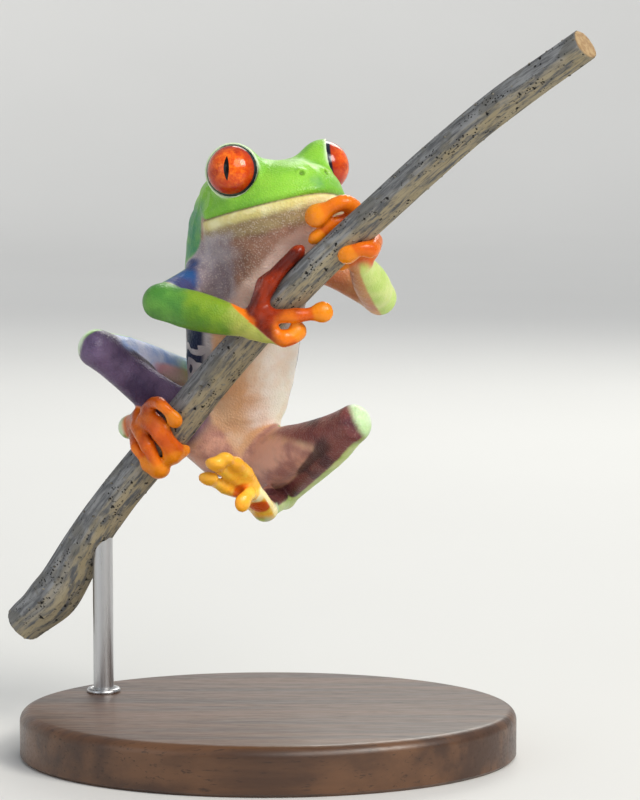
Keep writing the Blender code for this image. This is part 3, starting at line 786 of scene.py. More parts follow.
cut, points = window(HEAD_LOW, HEAD_HIGH)
opened = nostril_cut(points, lid_cut(points, field[cut].ravel()))
field[cut] = opened.reshape(field[cut].shape)
print("field from", round(float(field.min()), 2), "to", round(float(field.max()), 2), "mm")

# %% Surface net
CORNERS = [(i, j, k) for i in (0, 1) for j in (0, 1) for k in (0, 1)]  # of one cell of the box


def surface_net(values, axes):
    """Points and four-sided faces along the zero of a field sampled in a box."""
    inside = values < 0
    size = tuple(n - 1 for n in values.shape)
    filled = np.zeros(size, np.uint8)
    for i, j, k in CORNERS:
        filled += inside[i : i + size[0], j : j + size[1], k : k + size[2]]
    cells = np.argwhere((filled > 0) & (filled < 8))
    total, count = np.zeros((len(cells), 3)), np.zeros(len(cells))
    for first in CORNERS:
        for axis in range(3):
            if first[axis]:
                continue
            second = tuple(1 if a == axis else first[a] for a in range(3))
            ends = [cells + first, cells + second]
            f0, f1 = (values[tuple(e.T)] for e in ends)
            crossed = (f0 < 0) != (f1 < 0)
            share = np.where(crossed, f0 / np.where(crossed, f0 - f1, 1), 0)
            place = [np.column_stack([axes[a][e[:, a]] for a in range(3)]) for e in ends]
            total += crossed[:, None] * (place[0] * (1 - share)[:, None] + place[1] * share[:, None])
            count += crossed
    number = np.full(size, -1, np.int32)
    number[tuple(cells.T)] = np.arange(len(cells))
    quads = []
    for axis in range(3):
        u, v = (axis + 1) % 3, (axis + 2) % 3
        low = np.moveaxis(inside, axis, 0)[:-1]
        high = np.moveaxis(inside, axis, 0)[1:]
        edges = np.argwhere(low != high)
        starts_inside = low[tuple(edges.T)]
        at = np.empty_like(edges)
        at[:, [axis, *sorted((u, v))]] = edges
        back_u, back_v = np.eye(3, dtype=int)[[u, v]]
        ring = [at - back_u - back_v, at - back_v, at, at - back_u]
        quad = np.column_stack([number[tuple(r.T)] for r in ring])
        quad[~starts_inside] = quad[~starts_inside][:, ::-1]
        quads.append(quad)
    return total / count[:, None], np.concatenate(quads)


skin_points, skin_quads = surface_net(field, axes)
print("skin net:", len(skin_points), "points,", 2 * len(skin_quads), "triangles")


# %% Points drawn onto the true surface
def field_at(points):
    """The field's value between its samples."""
    cell, share = [], []
    for a, p in zip(axes, points.T):
        i = np.clip(np.searchsorted(a, p) - 1, 0, len(a) - 2)
        cell.append(i)
        share.append((p - a[i]) / (a[i + 1] - a[i]))
    found = 0
    for corner in CORNERS:
        weight = np.prod([s if end else 1 - s for s, end in zip(share, corner)], axis=0)
        found = found + weight * field[tuple(i + end for i, end in zip(cell, corner))]
    return found


def field_slope(points):
    rises = [field_at(points + e) - field_at(points - e) for e in np.eye(3) * SLOPE_STEP]
    return np.column_stack(rises) / (2 * SLOPE_STEP)


SLOPE_STEP = 0.12
for _ in range(3):  # each round brings the points closer to the true surface
    slope = field_slope(skin_points)
    steep = np.clip((slope**2).sum(1), 0.1, None)
    skin_points = skin_points - 0.8 * (field_at(skin_points) / steep)[:, None] * slope
print("furthest from the surface:", round(float(np.abs(field_at(skin_points)).max()), 3), "mm")

# %% Smoothing below the head
# The samples are coarser there, so the faint steps between them are smoothed away.
SMOOTHING = (0.5, -0.52) * 4  # shrinking and growing in turn, which keeps the volume
ends = np.concatenate([skin_quads[:, [k, (k + 1) % 4]] for k in range(4)])
ends = np.concatenate([ends, ends[:, ::-1]])
links = np.bincount(ends[:, 0], minlength=len(skin_points))
below_head = ramp(-skin_points[:, 2], -77.0, -72.0)
for weight in SMOOTHING:
    others = skin_points[ends[:, 1]].T
    sums = [np.bincount(ends[:, 0], row, len(skin_points)) for row in others]
    middles = np.column_stack(sums) / np.maximum(links, 1)[:, None]
    skin_points = skin_points + (weight * below_head)[:, None] * (middles - skin_points)
print("rounds of smoothing:", len(SMOOTHING))

# %% Skin mesh
SKIN_TRIANGLES = 190000
skin = add_mesh("frog_skin", skin_points, skin_quads)


def triangles_of(made):
    return sum(len(face.vertices) - 2 for face in made.data.polygons)


def as_evaluated(made):
    """A plain mesh of an object as its modifiers leave it."""
    graph = bpy.context.evaluated_depsgraph_get()
    return bpy.data.meshes.new_from_object(made.evaluated_get(graph))


def keep_largest(made):
    """Drops any speck of skin that isn't joined to the body."""
    bm = bmesh.new()
    bm.from_mesh(made.data)
    left, islands = set(bm.verts), []
    while left:
        island, reach = set(), [next(iter(left))]
        while reach:
            vert = reach.pop()
            if vert in island:
                continue
            island.add(vert)
            reach += [e.other_vert(vert) for e in vert.link_edges]
        islands.append(island)
        left -= island
    islands.sort(key=len)
    for island in islands[:-1]:
        bmesh.ops.delete(bm, geom=list(island), context="VERTS")
    bm.to_mesh(made.data)
    bm.free()
    return [len(i) for i in islands[:-1]]


print("specks dropped:", keep_largest(skin))
if triangles_of(skin) > SKIN_TRIANGLES:
    thin = skin.modifiers.new("thin", "DECIMATE")
    thin.ratio = SKIN_TRIANGLES / triangles_of(skin)
    thinned = as_evaluated(skin)
    skin.modifiers.clear()
    skin.data = thinned
skin.data.polygons.foreach_set("use_smooth", [True] * len(skin.data.polygons))
flesh = [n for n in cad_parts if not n.startswith(("eye_", "stand_", "twig"))]
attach(skin, "root")
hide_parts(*flesh)
print("skin:", triangles_of(skin), "triangles, replaces", len(flesh), "nodes")

# %% [markdown]
# ## Where each colour lies
# A frog wears its colours by body part: leaf green on the back and the outer sides of the
# limbs, violet and blue where limbs fold away, orange on hands and feet, cream below. Each
# colour gets a mask from 0 to 1 on the skin's points, and the material breaks up its edges.

# %% Places on the skin
count = len(skin.data.vertices)
flat = np.empty(count * 3, np.float32)
skin.data.vertices.foreach_get("co", flat)
spots = flat.reshape(-1, 3).astype(float) / MM
skin.data.vertices.foreach_get("normal", flat)
normals = flat.reshape(-1, 3).astype(float)
leftward, _, height = spots.T
head_x, _, head_z = head_local(spots).T
print("points:", count)


def facing(direction, low, high):
    """1 where the skin faces a direction, 0 where it faces away."""
    return ramp(normals @ unit(direction), low, high)


def close_to(place, inner, outer):
    """1 within one distance of a place, 0 beyond another."""
    return ramp(-np.linalg.norm(spots - np.array(place), axis=1), -outer, -inner)


def along_limb(side, first, last):
    """0 at one joint and 1 at the next."""
    start, end = np.array(JOINTS[side][first]), np.array(JOINTS[side][last])
    return np.clip((spots - start) @ (end - start) / ((end - start) @ (end - start)), 0, 1)

# %% Nearness of every skin point to each body part
SOFT_EDGE = 0.3  # how far one part's colours run into the next one's
MOUND_FLARE = 0.3  # how far the head's colours reach round the eye mounds
ELBOW_BEND = (2.4, 3.6)  # the elbow's whole bend wears the forearm's colours

parts = {name: tube_distance(spots, tube) for name, tube in TUBES.items() if name != "throat"}
for name, disc in DISCS.items():
    parts[name] = np.minimum(parts[name], disc_distance(spots, disc))
parts["trunk"] = np.minimum(parts["trunk"], tube_distance(spots, TUBES["throat"]))
parts["head"] = np.clip(with_slope(skull_value, spots), -2, 50)
for centre, gaze in EYES.values():
    mound = ball_distance(spots, centre - MOUND_BACK * gaze, MOUND_RADIUS + MOUND_FLARE)
    parts["head"] = np.minimum(parts["head"], mound)
closest = np.min(list(parts.values()), axis=0)
near = {name: np.exp(-(found - closest) / SOFT_EDGE) for name, found in parts.items()}
total = sum(near.values())
near = {name: value / total for name, value in near.items()}
for side, joints in JOINTS.items():
    taken = near[f"upper_arm_{side}"] * close_to(joints["elbow"], *ELBOW_BEND)
    near[f"forearm_{side}"] = near[f"forearm_{side}"] + taken
    near[f"upper_arm_{side}"] = near[f"upper_arm_{side}"] - taken


def nearness(*names):
    return sum(near[name] for name in names)


def with_digits(palm, digit):
    """Nearness to a hand or foot with all its fingers or toes."""
    return nearness(palm, *(name for name in DIGITS if name.startswith(digit)))


torso = nearness("head", "trunk")
hand_r, hand_l = with_digits("hand_r", "finger_r"), with_digits("hand_l", "finger_l")
right_foot, left_foot = with_digits("foot_r", "toe_r"), with_digits("foot_l", "toe_l")
outer_edge = nearness("forearm_r", "hand_r", "finger_r_4")
print("parts near the skin:", len(near))

# %% Ways round the trunk and up the face
CORNER_FALL = 2.2, 1.3  # the green dips this far behind the mouth corner, at this slope
gaps = spots[:, None] - trunk_rows[None, :, :3]
level = np.linalg.norm(gaps, axis=2).argmin(1)
from_spine = gaps[np.arange(count), level]
toward_back = (from_spine * trunk_up[level]).sum(1)
aside = (from_spine * trunk_across[level]).sum(1)
on_right = ramp(-aside, 0.0, 1.0)
belly_share = -toward_back / np.hypot(toward_back, aside)  # 1 in front, -1 along the back
past_corner = np.clip(head_x - MOUTH_CORNER + CORNER_FALL[0], None, 0)
over_mouth = head_z - mouth_height(head_x) - CORNER_FALL[1] * past_corner
on_head = ramp(head_z, -13.0, -9.5)
print("points in front of the spine:", int((belly_share > 0).sum()))

# %% Green
NAPE = (63.0, 71.0)  # between these heights the green comes further forward beside the neck
CHEEK = (72.0, 78.0)  # and between these further still behind the jaw
RUMP = (-12.0, 23.0, 44.0)
GREEN_SIDES = {  # limb, way its green side faces, where green begins and is full
    "forearm_r": ((-0.25, -0.75, 0.6), -0.6, -0.25),
    "forearm_l": ((0.9, -0.25, -0.1), 0.1, 0.5),
    "upper_arm_r": ((-0.3, 0.7, 0.6), 0.45, 0.8),
    "upper_arm_l": ((0.3, 0.7, 0.6), 0.45, 0.8),
    "thigh_r": ((-0.35, 0.3, 0.9), 0.8, 0.95),
    "thigh_l": ((0.45, 0.4, 0.8), 0.8, 0.95),
    "shank_r": ((-0.55, 0.55, 0.62), 0.15, 0.45),
    "shank_l": ((0.6, 0.3, -0.7), 0.3, 0.6),
    "tarsus_r": ((-0.8, 0.1, -0.2), -0.1, 0.3),
    "tarsus_l": ((0.4, 0.0, -0.9), 0.0, 0.4),
}

masks = {}
green_fade = 0.17 + 1.6 * ramp(MOUTH_CORNER - head_x, -0.5, 2.5)  # the lip's end melts into the cheek
green_head = np.clip((over_mouth + 0.05) / green_fade, 0, 1)
nape, cheek = ramp(height, *NAPE), ramp(height, *CHEEK)
green_back = ramp(-belly_share + 0.5 * nape + 0.3 * cheek, 0.28, 0.42)
masks["green"] = torso * (on_head * green_head + (1 - on_head) * green_back)
for limb, (way, low, high) in GREEN_SIDES.items():
    masks["green"] += near[limb] * facing(way, low, high)
# The green of the right forearm runs on in a wedge along the outer edge of the hand.
wedge = ramp((height - 65.9) + 0.85 * (leftward + 12.2), -0.35, 0.35)
masks["green"] += nearness("hand_r", "finger_r_4") * (1 - wedge)
on_rump = nearness("thigh_r", "thigh_l") * close_to(RUMP, 4.5, 8.0)
masks["green"] += on_rump * facing((0.0, 0.9, 0.4), 0.1, 0.5)
print("green share of the skin:", round(float(masks["green"].mean()), 2))

# %% Orange hands and feet
SOLE = (-11.2, -2.6, 39.6)  # the one dull place on the yellow left foot
HEEL_SPOT = (-8.6, 0.2, 36.4)
STEM_START, STEM_END = 1.8, 5.5  # painted shade deepens along a digit between these distances from its disc
right_hand = hand_r + near["forearm_r"] * ramp(leftward, -13.0, -12.0)
masks["orange"] = right_hand * (1 - outer_edge * (1 - wedge)) + hand_l + right_foot + left_foot
# The left foot's yellow is partly its own colour and partly painted sunlight.
masks["yellow"] = left_foot * (1 - 0.8 * close_to(SOLE, 1.2, 2.6))
tips = np.min([np.linalg.norm(spots - disc[0], axis=1) for disc in DISCS.values()], axis=0)
inner_fingers = nearness("finger_r_1", "finger_r_2")
# Painted shade: the right palm, its two inner fingers and the right foot's toe stems turn deep red.
masks["deep"] = (hand_r + 0.55 * right_foot) * ramp(tips, STEM_START, STEM_END)
masks["deep"] = np.maximum(masks["deep"], inner_fingers)
# The heel's underside: its own orange, darkened to orange-red as painted shade.
masks["ember"] = close_to(HEEL_SPOT, 1.0, 2.2) * left_foot
masks["disc"] = (hand_l + hand_r + right_foot + left_foot) * ramp(-tips, -2.2, -1.2)
masks["disc"] *= 1 - inner_fingers
print("orange share of the skin:", round(float(masks["orange"].mean()), 2))

# %% Colours hidden where the limbs fold
along_r, along_l = along_limb("r", "hip", "knee"), along_limb("l", "hip", "knee")
along_shank = along_limb("r", "knee", "ankle")
hip_height, knee_height = (JOINTS["l"][joint][2] for joint in ("hip", "knee"))
low_on_thigh = np.clip((hip_height + along_l * (knee_height - hip_height) - height) / 2.5, -1, 1)
tan_r = ramp(-along_r, -0.35, -0.1)
tan_l = ramp(0.24 * low_on_thigh - along_l, -0.78, -0.36)  # it reaches further along the lower side
under_shank = JOINTS["r"]["knee"][2] - 6.2 * along_shank - height
masks["violet"] = near["thigh_r"] * (1 - tan_r) + nearness("shank_r", "tarsus_r")
masks["lilac"] = near["shank_r"] * ramp(along_shank, 0.0, 0.2)
masks["rose"] = near["shank_r"] * ramp(under_shank, -0.8, 0.6) * ramp(along_shank, 0.3, 0.55)
masks["tan"] = near["thigh_l"] * tan_l + near["thigh_r"] * tan_r
masks["maroon"] = near["thigh_l"] * (1 - tan_l) + nearness("shank_l", "tarsus_l")
masks["blue"] = near["upper_arm_r"] * ramp(-leftward, 16.0, 19.0)
masks["pink"] = nearness("upper_arm_l", "forearm_l")
print("masks so far:", len(masks))

# %% Flanks, lip and throat
on_side = torso * (1 - nape) * ramp(belly_share, -0.42, -0.3)
further = 0.2 * on_right  # the bars come further forward on the right flank
masks["flank"] = on_side * ramp(further - belly_share, -0.35, -0.22)
masks["pale_flank"] = on_side * ramp(further - belly_share, -0.55, -0.3) * on_right
masks["lip"] = torso * on_head * ramp(-over_mouth, -0.1, 0.05) * ramp(over_mouth, -2.5, -0.7)
masks["dusk"] = torso * on_head * ramp(-over_mouth, 0.6, 1.8) * ramp(over_mouth, -5.0, -2.2)
masks["lip"] *= ramp(head_x, MOUTH_CORNER - 4.0, MOUTH_CORNER + 0.5)
# Painted shade: a bluish-green tint on the neck behind the jaw.
behind_jaw = ramp(-head_x, 4.0, 7.5) * ramp(-head_z, 0.5, 5.0) * ramp(belly_share, -0.9, -0.3)
masks["teal"] = 0.85 * torso * ramp(head_z, -18.0, -8.0) * behind_jaw
masks["teal"] += 0.5 * close_to(at_head(9.5, -0.5, -4.0), 0.4, 2.4)  # and painted shade in a dent on the snout
chest = torso + near["upper_arm_r"]
# The throat's brown is its own colour, darkened as painted shade under the jaw.
masks["throat"] = chest * ramp(height, 59.0, 65.0)
masks["ash"] = chest * ramp(-leftward, 8.5, 16.5) * ramp(-head_z, 7.2, 9.6) * ramp(height, 61.5, 68.0)
# Painted shade: the chest is darkened at the height of the right hand and where the right forearm lies
# close to it.
masks["shade"] = torso * np.maximum(
    0.6 * ramp(-height, -67.0, -63.0) * ramp(height, 59.0, 62.0),
    ramp(-parts["forearm_r"], -2.4, -0.4),
)
beside_hand = 0.75 * (leftward + 15.0) - 0.67 * (height - 63.0)  # across the slanting right hand
# Painted light: the chest is lit paler pink in a band beside the slanting right hand.
blush = 0.85 * ramp(beside_hand, -2.2, 0.4) * ramp(-beside_hand, -4.5, -2.0) * ramp(height, 62.0, 65.0)
masks["blush"] = torso * blush * ramp(-over_mouth, 2.5, 5.5)
# Painted light: the lower trunk turns paler cream where it faces the light on the right.
masks["cream"] = torso * facing((0.95, -0.3, 0.0), 0.2, 0.9) * ramp(-height, -66.0, -60.0)
print("masks so far:", len(masks))

# %% Fine marks, and painted shade in the knee folds and nostrils
KNEE_AND_HEEL_PATCHES = (  # side, joint, full within, gone beyond, way it faces, its range, strength
    ("r", "knee", 2.4, 4.8, (-0.9, 0.1, 0.35), (0.4, 0.95), 0.8),
    ("l", "knee", 2.4, 6.5, (0.8, -0.1, 0.5), (-0.2, 0.75), 1),
    ("r", "heel", 2.0, 4.5, (-0.9, 0.1, 0.2), (0.1, 0.6), 1),
    ("l", "heel", 2.0, 4.0, (0.7, -0.3, -0.3), (0.3, 0.7), 1),
)
FOLD_SHADOW_STARTS = {"r": 0.35, "l": 0.3}  # the painted shadow in the fold behind a knee starts this far along the thigh
HEEL_STRAP = (-9.0, -1.3, 38.4)
# Painted shade: the nostril pits are coloured dark.
masks["nostril"] = sum(
    close_to(at_head(NOSTRIL[0] + 0.1, way * (NOSTRIL[1] + 0.1), NOSTRIL[2] - 0.05), 0.2, 0.45)
    for way in (1, -1)
)
# Painted shadow: the crease behind each knee is darkened where thigh and shank lie close together.
masks["fold"] = np.zeros(count)
for side, start in FOLD_SHADOW_STARTS.items():
    thigh, shank = parts[f"thigh_{side}"], parts[f"shank_{side}"]
    between = ramp(-np.abs(thigh - shank), -1.1, -0.1) * ramp(-np.maximum(thigh, shank), -1.2, -0.3)
    along = along_limb(side, "hip", "knee")
    masks["fold"] += between * ramp(along, start, start + 0.2) * ramp(-along, -0.95, -0.75)
masks["lime"] = near["forearm_l"] + nearness("shank_l", "tarsus_l")
masks["olive"] = outer_edge
masks["elbow"] = nearness("forearm_r", "upper_arm_r") * ramp(-leftward, 16.5, 21.5)
masks["wrist"] = outer_edge * ramp(leftward, -16.0, -9.0)
# A pale band on the left heel: its own pale edge, made paler as painted light where it faces the light.
masks["butter"] = nearness("foot_l", "tarsus_l") * facing((0.95, -0.3, 0.2), 0.5, 0.85)
masks["butter"] = np.maximum(masks["butter"], left_foot * close_to(HEEL_STRAP, 0.6, 1.5))
masks["seam"] = torso * on_head * bell(over_mouth, 0.13) * ramp(head_x, MOUTH_CORNER - 3.0, -5.0)
masks["mint"] = sum(
    strength * close_to(JOINTS[side][joint], inner, outer) * facing(way, *span)
    for side, joint, inner, outer, way, span, strength in KNEE_AND_HEEL_PATCHES
)
masks["mint"] += near["shank_r"] * facing((-0.2, 0.1, 0.97), 0.72, 0.93)
masks["rim"] = np.zeros(count)
for centre, gaze in EYES.values():
    out = (spots - centre) @ gaze
    from_axis = np.sqrt(np.clip(((spots - centre) ** 2).sum(1) - out**2, 0, None))
    masks["rim"] += bell(np.hypot(from_axis - RIM_RING, out - RIM_OUT), 0.3)
print("masks so far:", len(masks))

# %% Store the masks on the skin
for name, values in masks.items():
    store(skin, name, np.clip(values, 0, 1))
print("masks:", ", ".join(masks))

# %% [markdown]
# ## Skin material
# Frog skin is moist, a little see-through, and pebbled: coarse granules on the belly and
# throat, fine ones on the back, smooth fingers. The granule pattern is a shared group.

# %% Shared groups: granules and uneven edges
granules, web, given, gives = new_group(
    "granules",
    [("Vector", "Vector"), ("Size", "Float", 3000.0)],
    [("Height", "Float"), ("Dots", "Float")],
)
cells = web.add(
    "ShaderNodeTexVoronoi", {"Vector": given["Vector"], "Scale": given["Size"]}, feature="SMOOTH_F1"
).outputs["Distance"]
finer = web.noise(given["Vector"], web.times(given["Size"], 2.3), 2.0)
pebbles = web.plus(web.span(cells, 0.65, 0.1), web.times(finer, 0.35))
web.feed(gives["Height"], pebbles)
web.feed(gives["Dots"], web.span(cells, 0.4, 0.15))

uneven, web, given, gives = new_group(
    "uneven edge",
    [("Vector", "Vector"), ("Mask", "Float"), ("Size", "Float", 500.0), ("Amount", "Float", 0.5)],
    [("Mask", "Float")],
)
wander = web.minus(web.noise(given["Vector"], given["Size"]), 0.5)
pushed = web.plus(given["Mask"], web.times(wander, given["Amount"]))
kept_out = web.span(given["Mask"], 0.0, 0.06)  # nothing shows where the mask is empty
web.feed(gives["Mask"], web.times(web.span(pushed, 0.15, 0.85), kept_out))
print("groups:", granules.name, "and", uneven.name)

# %% Colour tables of the skin
GROUND = (0.90, 0.62, 0.40), (0.76, 0.42, 0.22), 110.0  # cream belly under all the rest
LAYERS = (  # mask, lighter and darker colour, size of the mottling, unevenness of the edge
    ("pale_flank", (0.62, 0.57, 0.55), (0.44, 0.40, 0.40), 300.0, 0.6),
    # the throat's own brown, darkened as painted shade
    ("throat", (0.46, 0.24, 0.165), (0.21, 0.10, 0.07), 150.0, 0.5),
    ("dusk", (0.44, 0.33, 0.16), (0.27, 0.18, 0.09), 180.0, 0.8),
    # painted light on the chest beside the right hand
    ("blush", (0.92, 0.68, 0.58), (0.78, 0.50, 0.40), 200.0, 0.6),
    # painted light on the right side of the lower trunk
    ("cream", (0.98, 0.87, 0.79), (0.93, 0.74, 0.62), 220.0, 0.6),
    ("ash", (0.46, 0.39, 0.42), (0.28, 0.22, 0.25), 280.0, 0.9),
    # painted shade on the chest by the right hand and forearm
    ("shade", (0.17, 0.08, 0.07), (0.11, 0.05, 0.05), 200.0, 0.4),
    ("violet", (0.15, 0.10, 0.19), (0.055, 0.035, 0.085), 170.0, 0.3),
    ("maroon", (0.26, 0.08, 0.075), (0.06, 0.015, 0.028), 160.0, 0.5),
    ("lilac", (0.72, 0.76, 1.0), (0.30, 0.44, 0.84), 260.0, 0.4),
    ("rose", (1.0, 0.56, 0.62), (0.84, 0.40, 0.48), 220.0, 0.4),
    ("tan", (0.84, 0.46, 0.34), (0.46, 0.21, 0.18), 210.0, 0.9),
    ("pink", (0.66, 0.33, 0.13), (0.52, 0.18, 0.08), 200.0, 0.4),
    ("blue", (0.02, 0.085, 0.26), (0.05, 0.05, 0.15), 260.0, 0.5),
)
LEAF = (0.28, 0.62, 0.05), (0.17, 0.46, 0.03), 150.0
LEAF_DOTS = (0.45, 0.74, 0.14)
GREEN_LAYERS = (  # laid over the leaf green before it joins the rest
    # painted bluish shade on the neck and snout
    ("teal", (0.16, 0.40, 0.10), (0.06, 0.27, 0.13), 300.0, 0.4),
    ("olive", (0.20, 0.33, 0.018), (0.09, 0.23, 0.012), 220.0, 0.4),
    ("elbow", (0.13, 0.34, 0.05), (0.06, 0.22, 0.03), 240.0, 0.6),
    ("wrist", (0.50, 0.50, 0.11), (0.34, 0.38, 0.06), 260.0, 0.6),
    ("lime", (0.70, 0.80, 0.28), (0.52, 0.70, 0.16), 240.0, 0.4),
)
LIP = ("lip", (0.86, 0.80, 0.46), (0.70, 0.60, 0.22), 300.0, 0.4)
MINT = ("mint", (0.72, 0.84, 0.62), (0.50, 0.70, 0.36), 240.0, 0.5)
FLAME = (0.86, 0.20, 0.004), (0.66, 0.10, 0.003), 230.0
FLAME_LAYERS = (  # laid over the orange of hands and feet
    # the left foot's yellow, partly painted sunlight
    ("yellow", (0.94, 0.60, 0.07), (0.90, 0.42, 0.03), 300.0, 0.4),
    # painted shade on the right palm, inner fingers and toe stems
    ("deep", (0.33, 0.028, 0.002), (0.11, 0.007, 0.001), 260.0, 0.5),
    # the heel's own orange underside, with painted shade
    ("ember", (0.80, 0.15, 0.008), (0.66, 0.09, 0.006), 260.0, 0.3),
)
# The butter colour is partly the heel's own pale edge and partly painted light.
BUTTER = ("butter", (0.95, 0.88, 0.55), (0.93, 0.76, 0.30), 260.0, 0.5)
DISC_COLOUR = (0.90, 0.34, 0.010)
PALE_DOTS, FLANK_BARS = (0.74, 0.62, 0.54), (0.010, 0.018, 0.05)
# The fold colour is painted shadow in the knee creases.
FOLD_SHADOW, SEAM_COLOUR = (0.04, 0.012, 0.02), (0.16, 0.10, 0.05)
RIM_COLOUR, NOSTRIL_SHADE = (0.74, 0.86, 0.62), (0.05, 0.045, 0.015)
print("colours:", len(LAYERS) + len(GREEN_LAYERS) + len(FLAME_LAYERS), "in tables")

# %% Skin colour, coat by coat
skin_look, web, shader = new_material(
    "frog skin",
    Specular_IOR_Level=0.3,
    Subsurface_Weight=0.1,
    Subsurface_Radius=(1.0, 0.45, 0.2),
    Subsurface_Scale=0.5 * MM,
    Coat_Weight=0.09,
    Coat_Roughness=0.2,
)
place = web.place()
coarse_grain = web.group(granules, Vector=place, Size=3700.0)
fine_grain = web.group(granules, Vector=place, Size=4200.0)


def mask(name, size=500.0, amount=0.4):
    return web.group(uneven, Vector=place, Mask=web.attribute(name), Size=size, Amount=amount)["Mask"]


def mottled(light, dark, scale):
    return web.blend(web.noise(place, scale), 0.35, 0.65, light, dark)


def coats(colour, *layers):
    """Lays mottled colours over another in turn, each inside its own mask."""
    for name, light, dark, scale, unevenness in layers:
        colour = web.mix(mask(name, amount=unevenness), colour, mottled(light, dark, scale))
    return colour


colour = coats(mottled(*GROUND), *LAYERS)
stippled = web.plus(0.1, web.times(mask("throat"), 0.34))
no_dots = web.math("MAXIMUM", mask("violet"), mask("blue"))
granule_dots = web.times(web.times(coarse_grain["Dots"], stippled), web.minus(1.0, no_dots))
colour = web.mix(granule_dots, colour, PALE_DOTS)
bars = web.add(
    "ShaderNodeTexWave",
    {"Vector": place, "Scale": 58.0, "Distortion": 8.0, "Detail": 2.0, "Detail Scale": 4.5},
    bands_direction="Z",
).outputs["Fac"]
colour = web.tint(colour, web.attribute("flank"), web.span(bars, 0.39, 0.51), FLANK_BARS)
# painted shadow in the knee folds
colour = web.tint(colour, mask("fold"), 0.85, FOLD_SHADOW)
green = web.tint(mottled(*LEAF), fine_grain["Dots"], 0.2, LEAF_DOTS)
colour = web.mix(mask("green"), colour, coats(green, *GREEN_LAYERS))
colour = web.tint(coats(colour, LIP), web.attribute("seam"), 0.75, SEAM_COLOUR)
colour = coats(colour, MINT)
flame = coats(mottled(*FLAME), *FLAME_LAYERS)
flame = coats(web.tint(flame, mask("disc"), 0.5, DISC_COLOUR), BUTTER)
colour = web.mix(mask("orange", 700.0, 0.25), colour, flame)
colour = web.mix(web.attribute("rim"), colour, RIM_COLOUR)
# painted shade in the nostrils
colour = web.tint(colour, web.attribute("nostril"), 0.92, NOSTRIL_SHADE)
web.feed(shader.inputs["Base Color"], colour)
print("coats of colour:", len(LAYERS) + len(GREEN_LAYERS) + len(FLAME_LAYERS) + 3)

# %% Skin grain and gloss
smooth_parts, on_green = web.attribute("orange"), web.attribute("green")
rough = web.span(web.noise(place, 900.0), 0.3, 0.7, 0.3, 0.46)
web.feed(shader.inputs["Roughness"], web.minus(rough, web.times(smooth_parts, 0.08)))
below = web.times(coarse_grain["Height"], web.minus(1.0, on_green))
above = web.times(fine_grain["Height"], web.times(on_green, 0.9))
grain = web.times(web.plus(below, above), web.minus(1.0, web.times(smooth_parts, 0.75)))
web.bump(shader, grain, 0.55, 0.09)
paint(skin, skin_look)
print("skin material:", len(skin_look.node_tree.nodes), "nodes")

# %% [markdown]
# ## Eyes
# The eye is a wet red ball with a slit pupil and a dark ring where it meets the lid. Its
# pattern runs round the line of sight, so each ball carries its own gaze directions.

# %% Eyeballs
EYE_ROUND, EYE_ALONG = 96, 64


def eyeball(name, centre, gaze, lean):
    """A ball that stores each point's place as seen along its gaze; lean tilts the pupil."""
    upright = unit(CROWN - gaze * (CROWN @ gaze))
    upright = unit(upright + lean * np.cross(upright, gaze))
    aside = np.cross(upright, gaze)
    polar = np.linspace(0, math.pi, EYE_ALONG + 2)[1:-1]
    around = np.linspace(0, 2 * math.pi, EYE_ROUND, endpoint=False)
    local = [(0, 0, 1)]
    for p in polar:
        local += [(math.sin(p) * math.cos(a), math.sin(p) * math.sin(a), math.cos(p)) for a in around]
    local = np.array(local + [(0, 0, -1)])
    tucked_in = EYE_RADIUS - 0.16 * ramp(-local[:, 2], -0.24, 0.0)  # clear of the lids behind the rim
    points = centre + tucked_in[:, None] * local @ np.array((aside, upright, gaze))
    faces = [tuple(i + 1 for i in face) for face in grid_faces(EYE_ALONG, EYE_ROUND)]
    last = len(local) - 1
    for k in range(EYE_ROUND):
        n = (k + 1) % EYE_ROUND
        faces += [(0, 1 + k, 1 + n), (last, last - EYE_ROUND + n, last - EYE_ROUND + k)]
    made = face_outwards(add_mesh(name, points, faces))
    store(made, "gaze", local)
    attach(made, "root")
    return made


LEANS = {"r": 0.14, "l": -0.14}
eyeballs = {side: eyeball(f"eyeball_{side}", *EYES[side], LEANS[side]) for side in EYES}
print("eyeballs:", ", ".join(made.name for made in eyeballs.values()))

# %% Eye material
eye_look, web, shader = new_material(
    "red eye", Roughness=0.12, Specular_IOR_Level=0.2, Coat_Weight=0.4, Coat_Roughness=0.02
)
PUPIL_HALF, PUPIL_TALL = 0.105, 0.48
EMBER_RED, BLOTCH_RED, EDGE_RED, SHADED_IRIS_RED = (
    (0.90, 0.17, 0.008), (0.36, 0.014, 0.003), (0.34, 0.012, 0.003), (0.40, 0.018, 0.003)
)
gaze_place = web.attribute("gaze", "Vector")
aside, upward, ahead = web.add("ShaderNodeSeparateXYZ", {"Vector": gaze_place}).outputs
squares = web.plus(web.math("POWER", aside, 2.0), web.math("POWER", upward, 2.0))
from_axis = web.math("SQRT", squares)
# the side of the iris that gets painted shade
shaded_iris_side = web.plus(web.times(aside, -0.45), web.times(upward, -0.75))
flecks = web.noise(gaze_place, 5.0, 5.0, 0.7)
blotches = web.noise(gaze_place, 1.7, 3.0, 0.6)
fibres = web.add(
    "ShaderNodeTexNoise",
    {"Vector": web.vector("MULTIPLY", gaze_place, (22.0, 22.0, 3.0)), "Scale": 1.0, "Detail": 4.0},
).outputs["Fac"]
iris = web.blend(flecks, 0.36, 0.6, EMBER_RED, (0.70, 0.07, 0.004))
iris = web.tint(iris, web.span(blotches, 0.5, 0.62), 0.75, BLOTCH_RED)
iris = web.tint(iris, web.span(fibres, 0.5, 0.75), 0.4, (0.94, 0.27, 0.015))
iris = web.tint(iris, web.span(from_axis, 0.55, 0.93), 0.75, EDGE_RED)
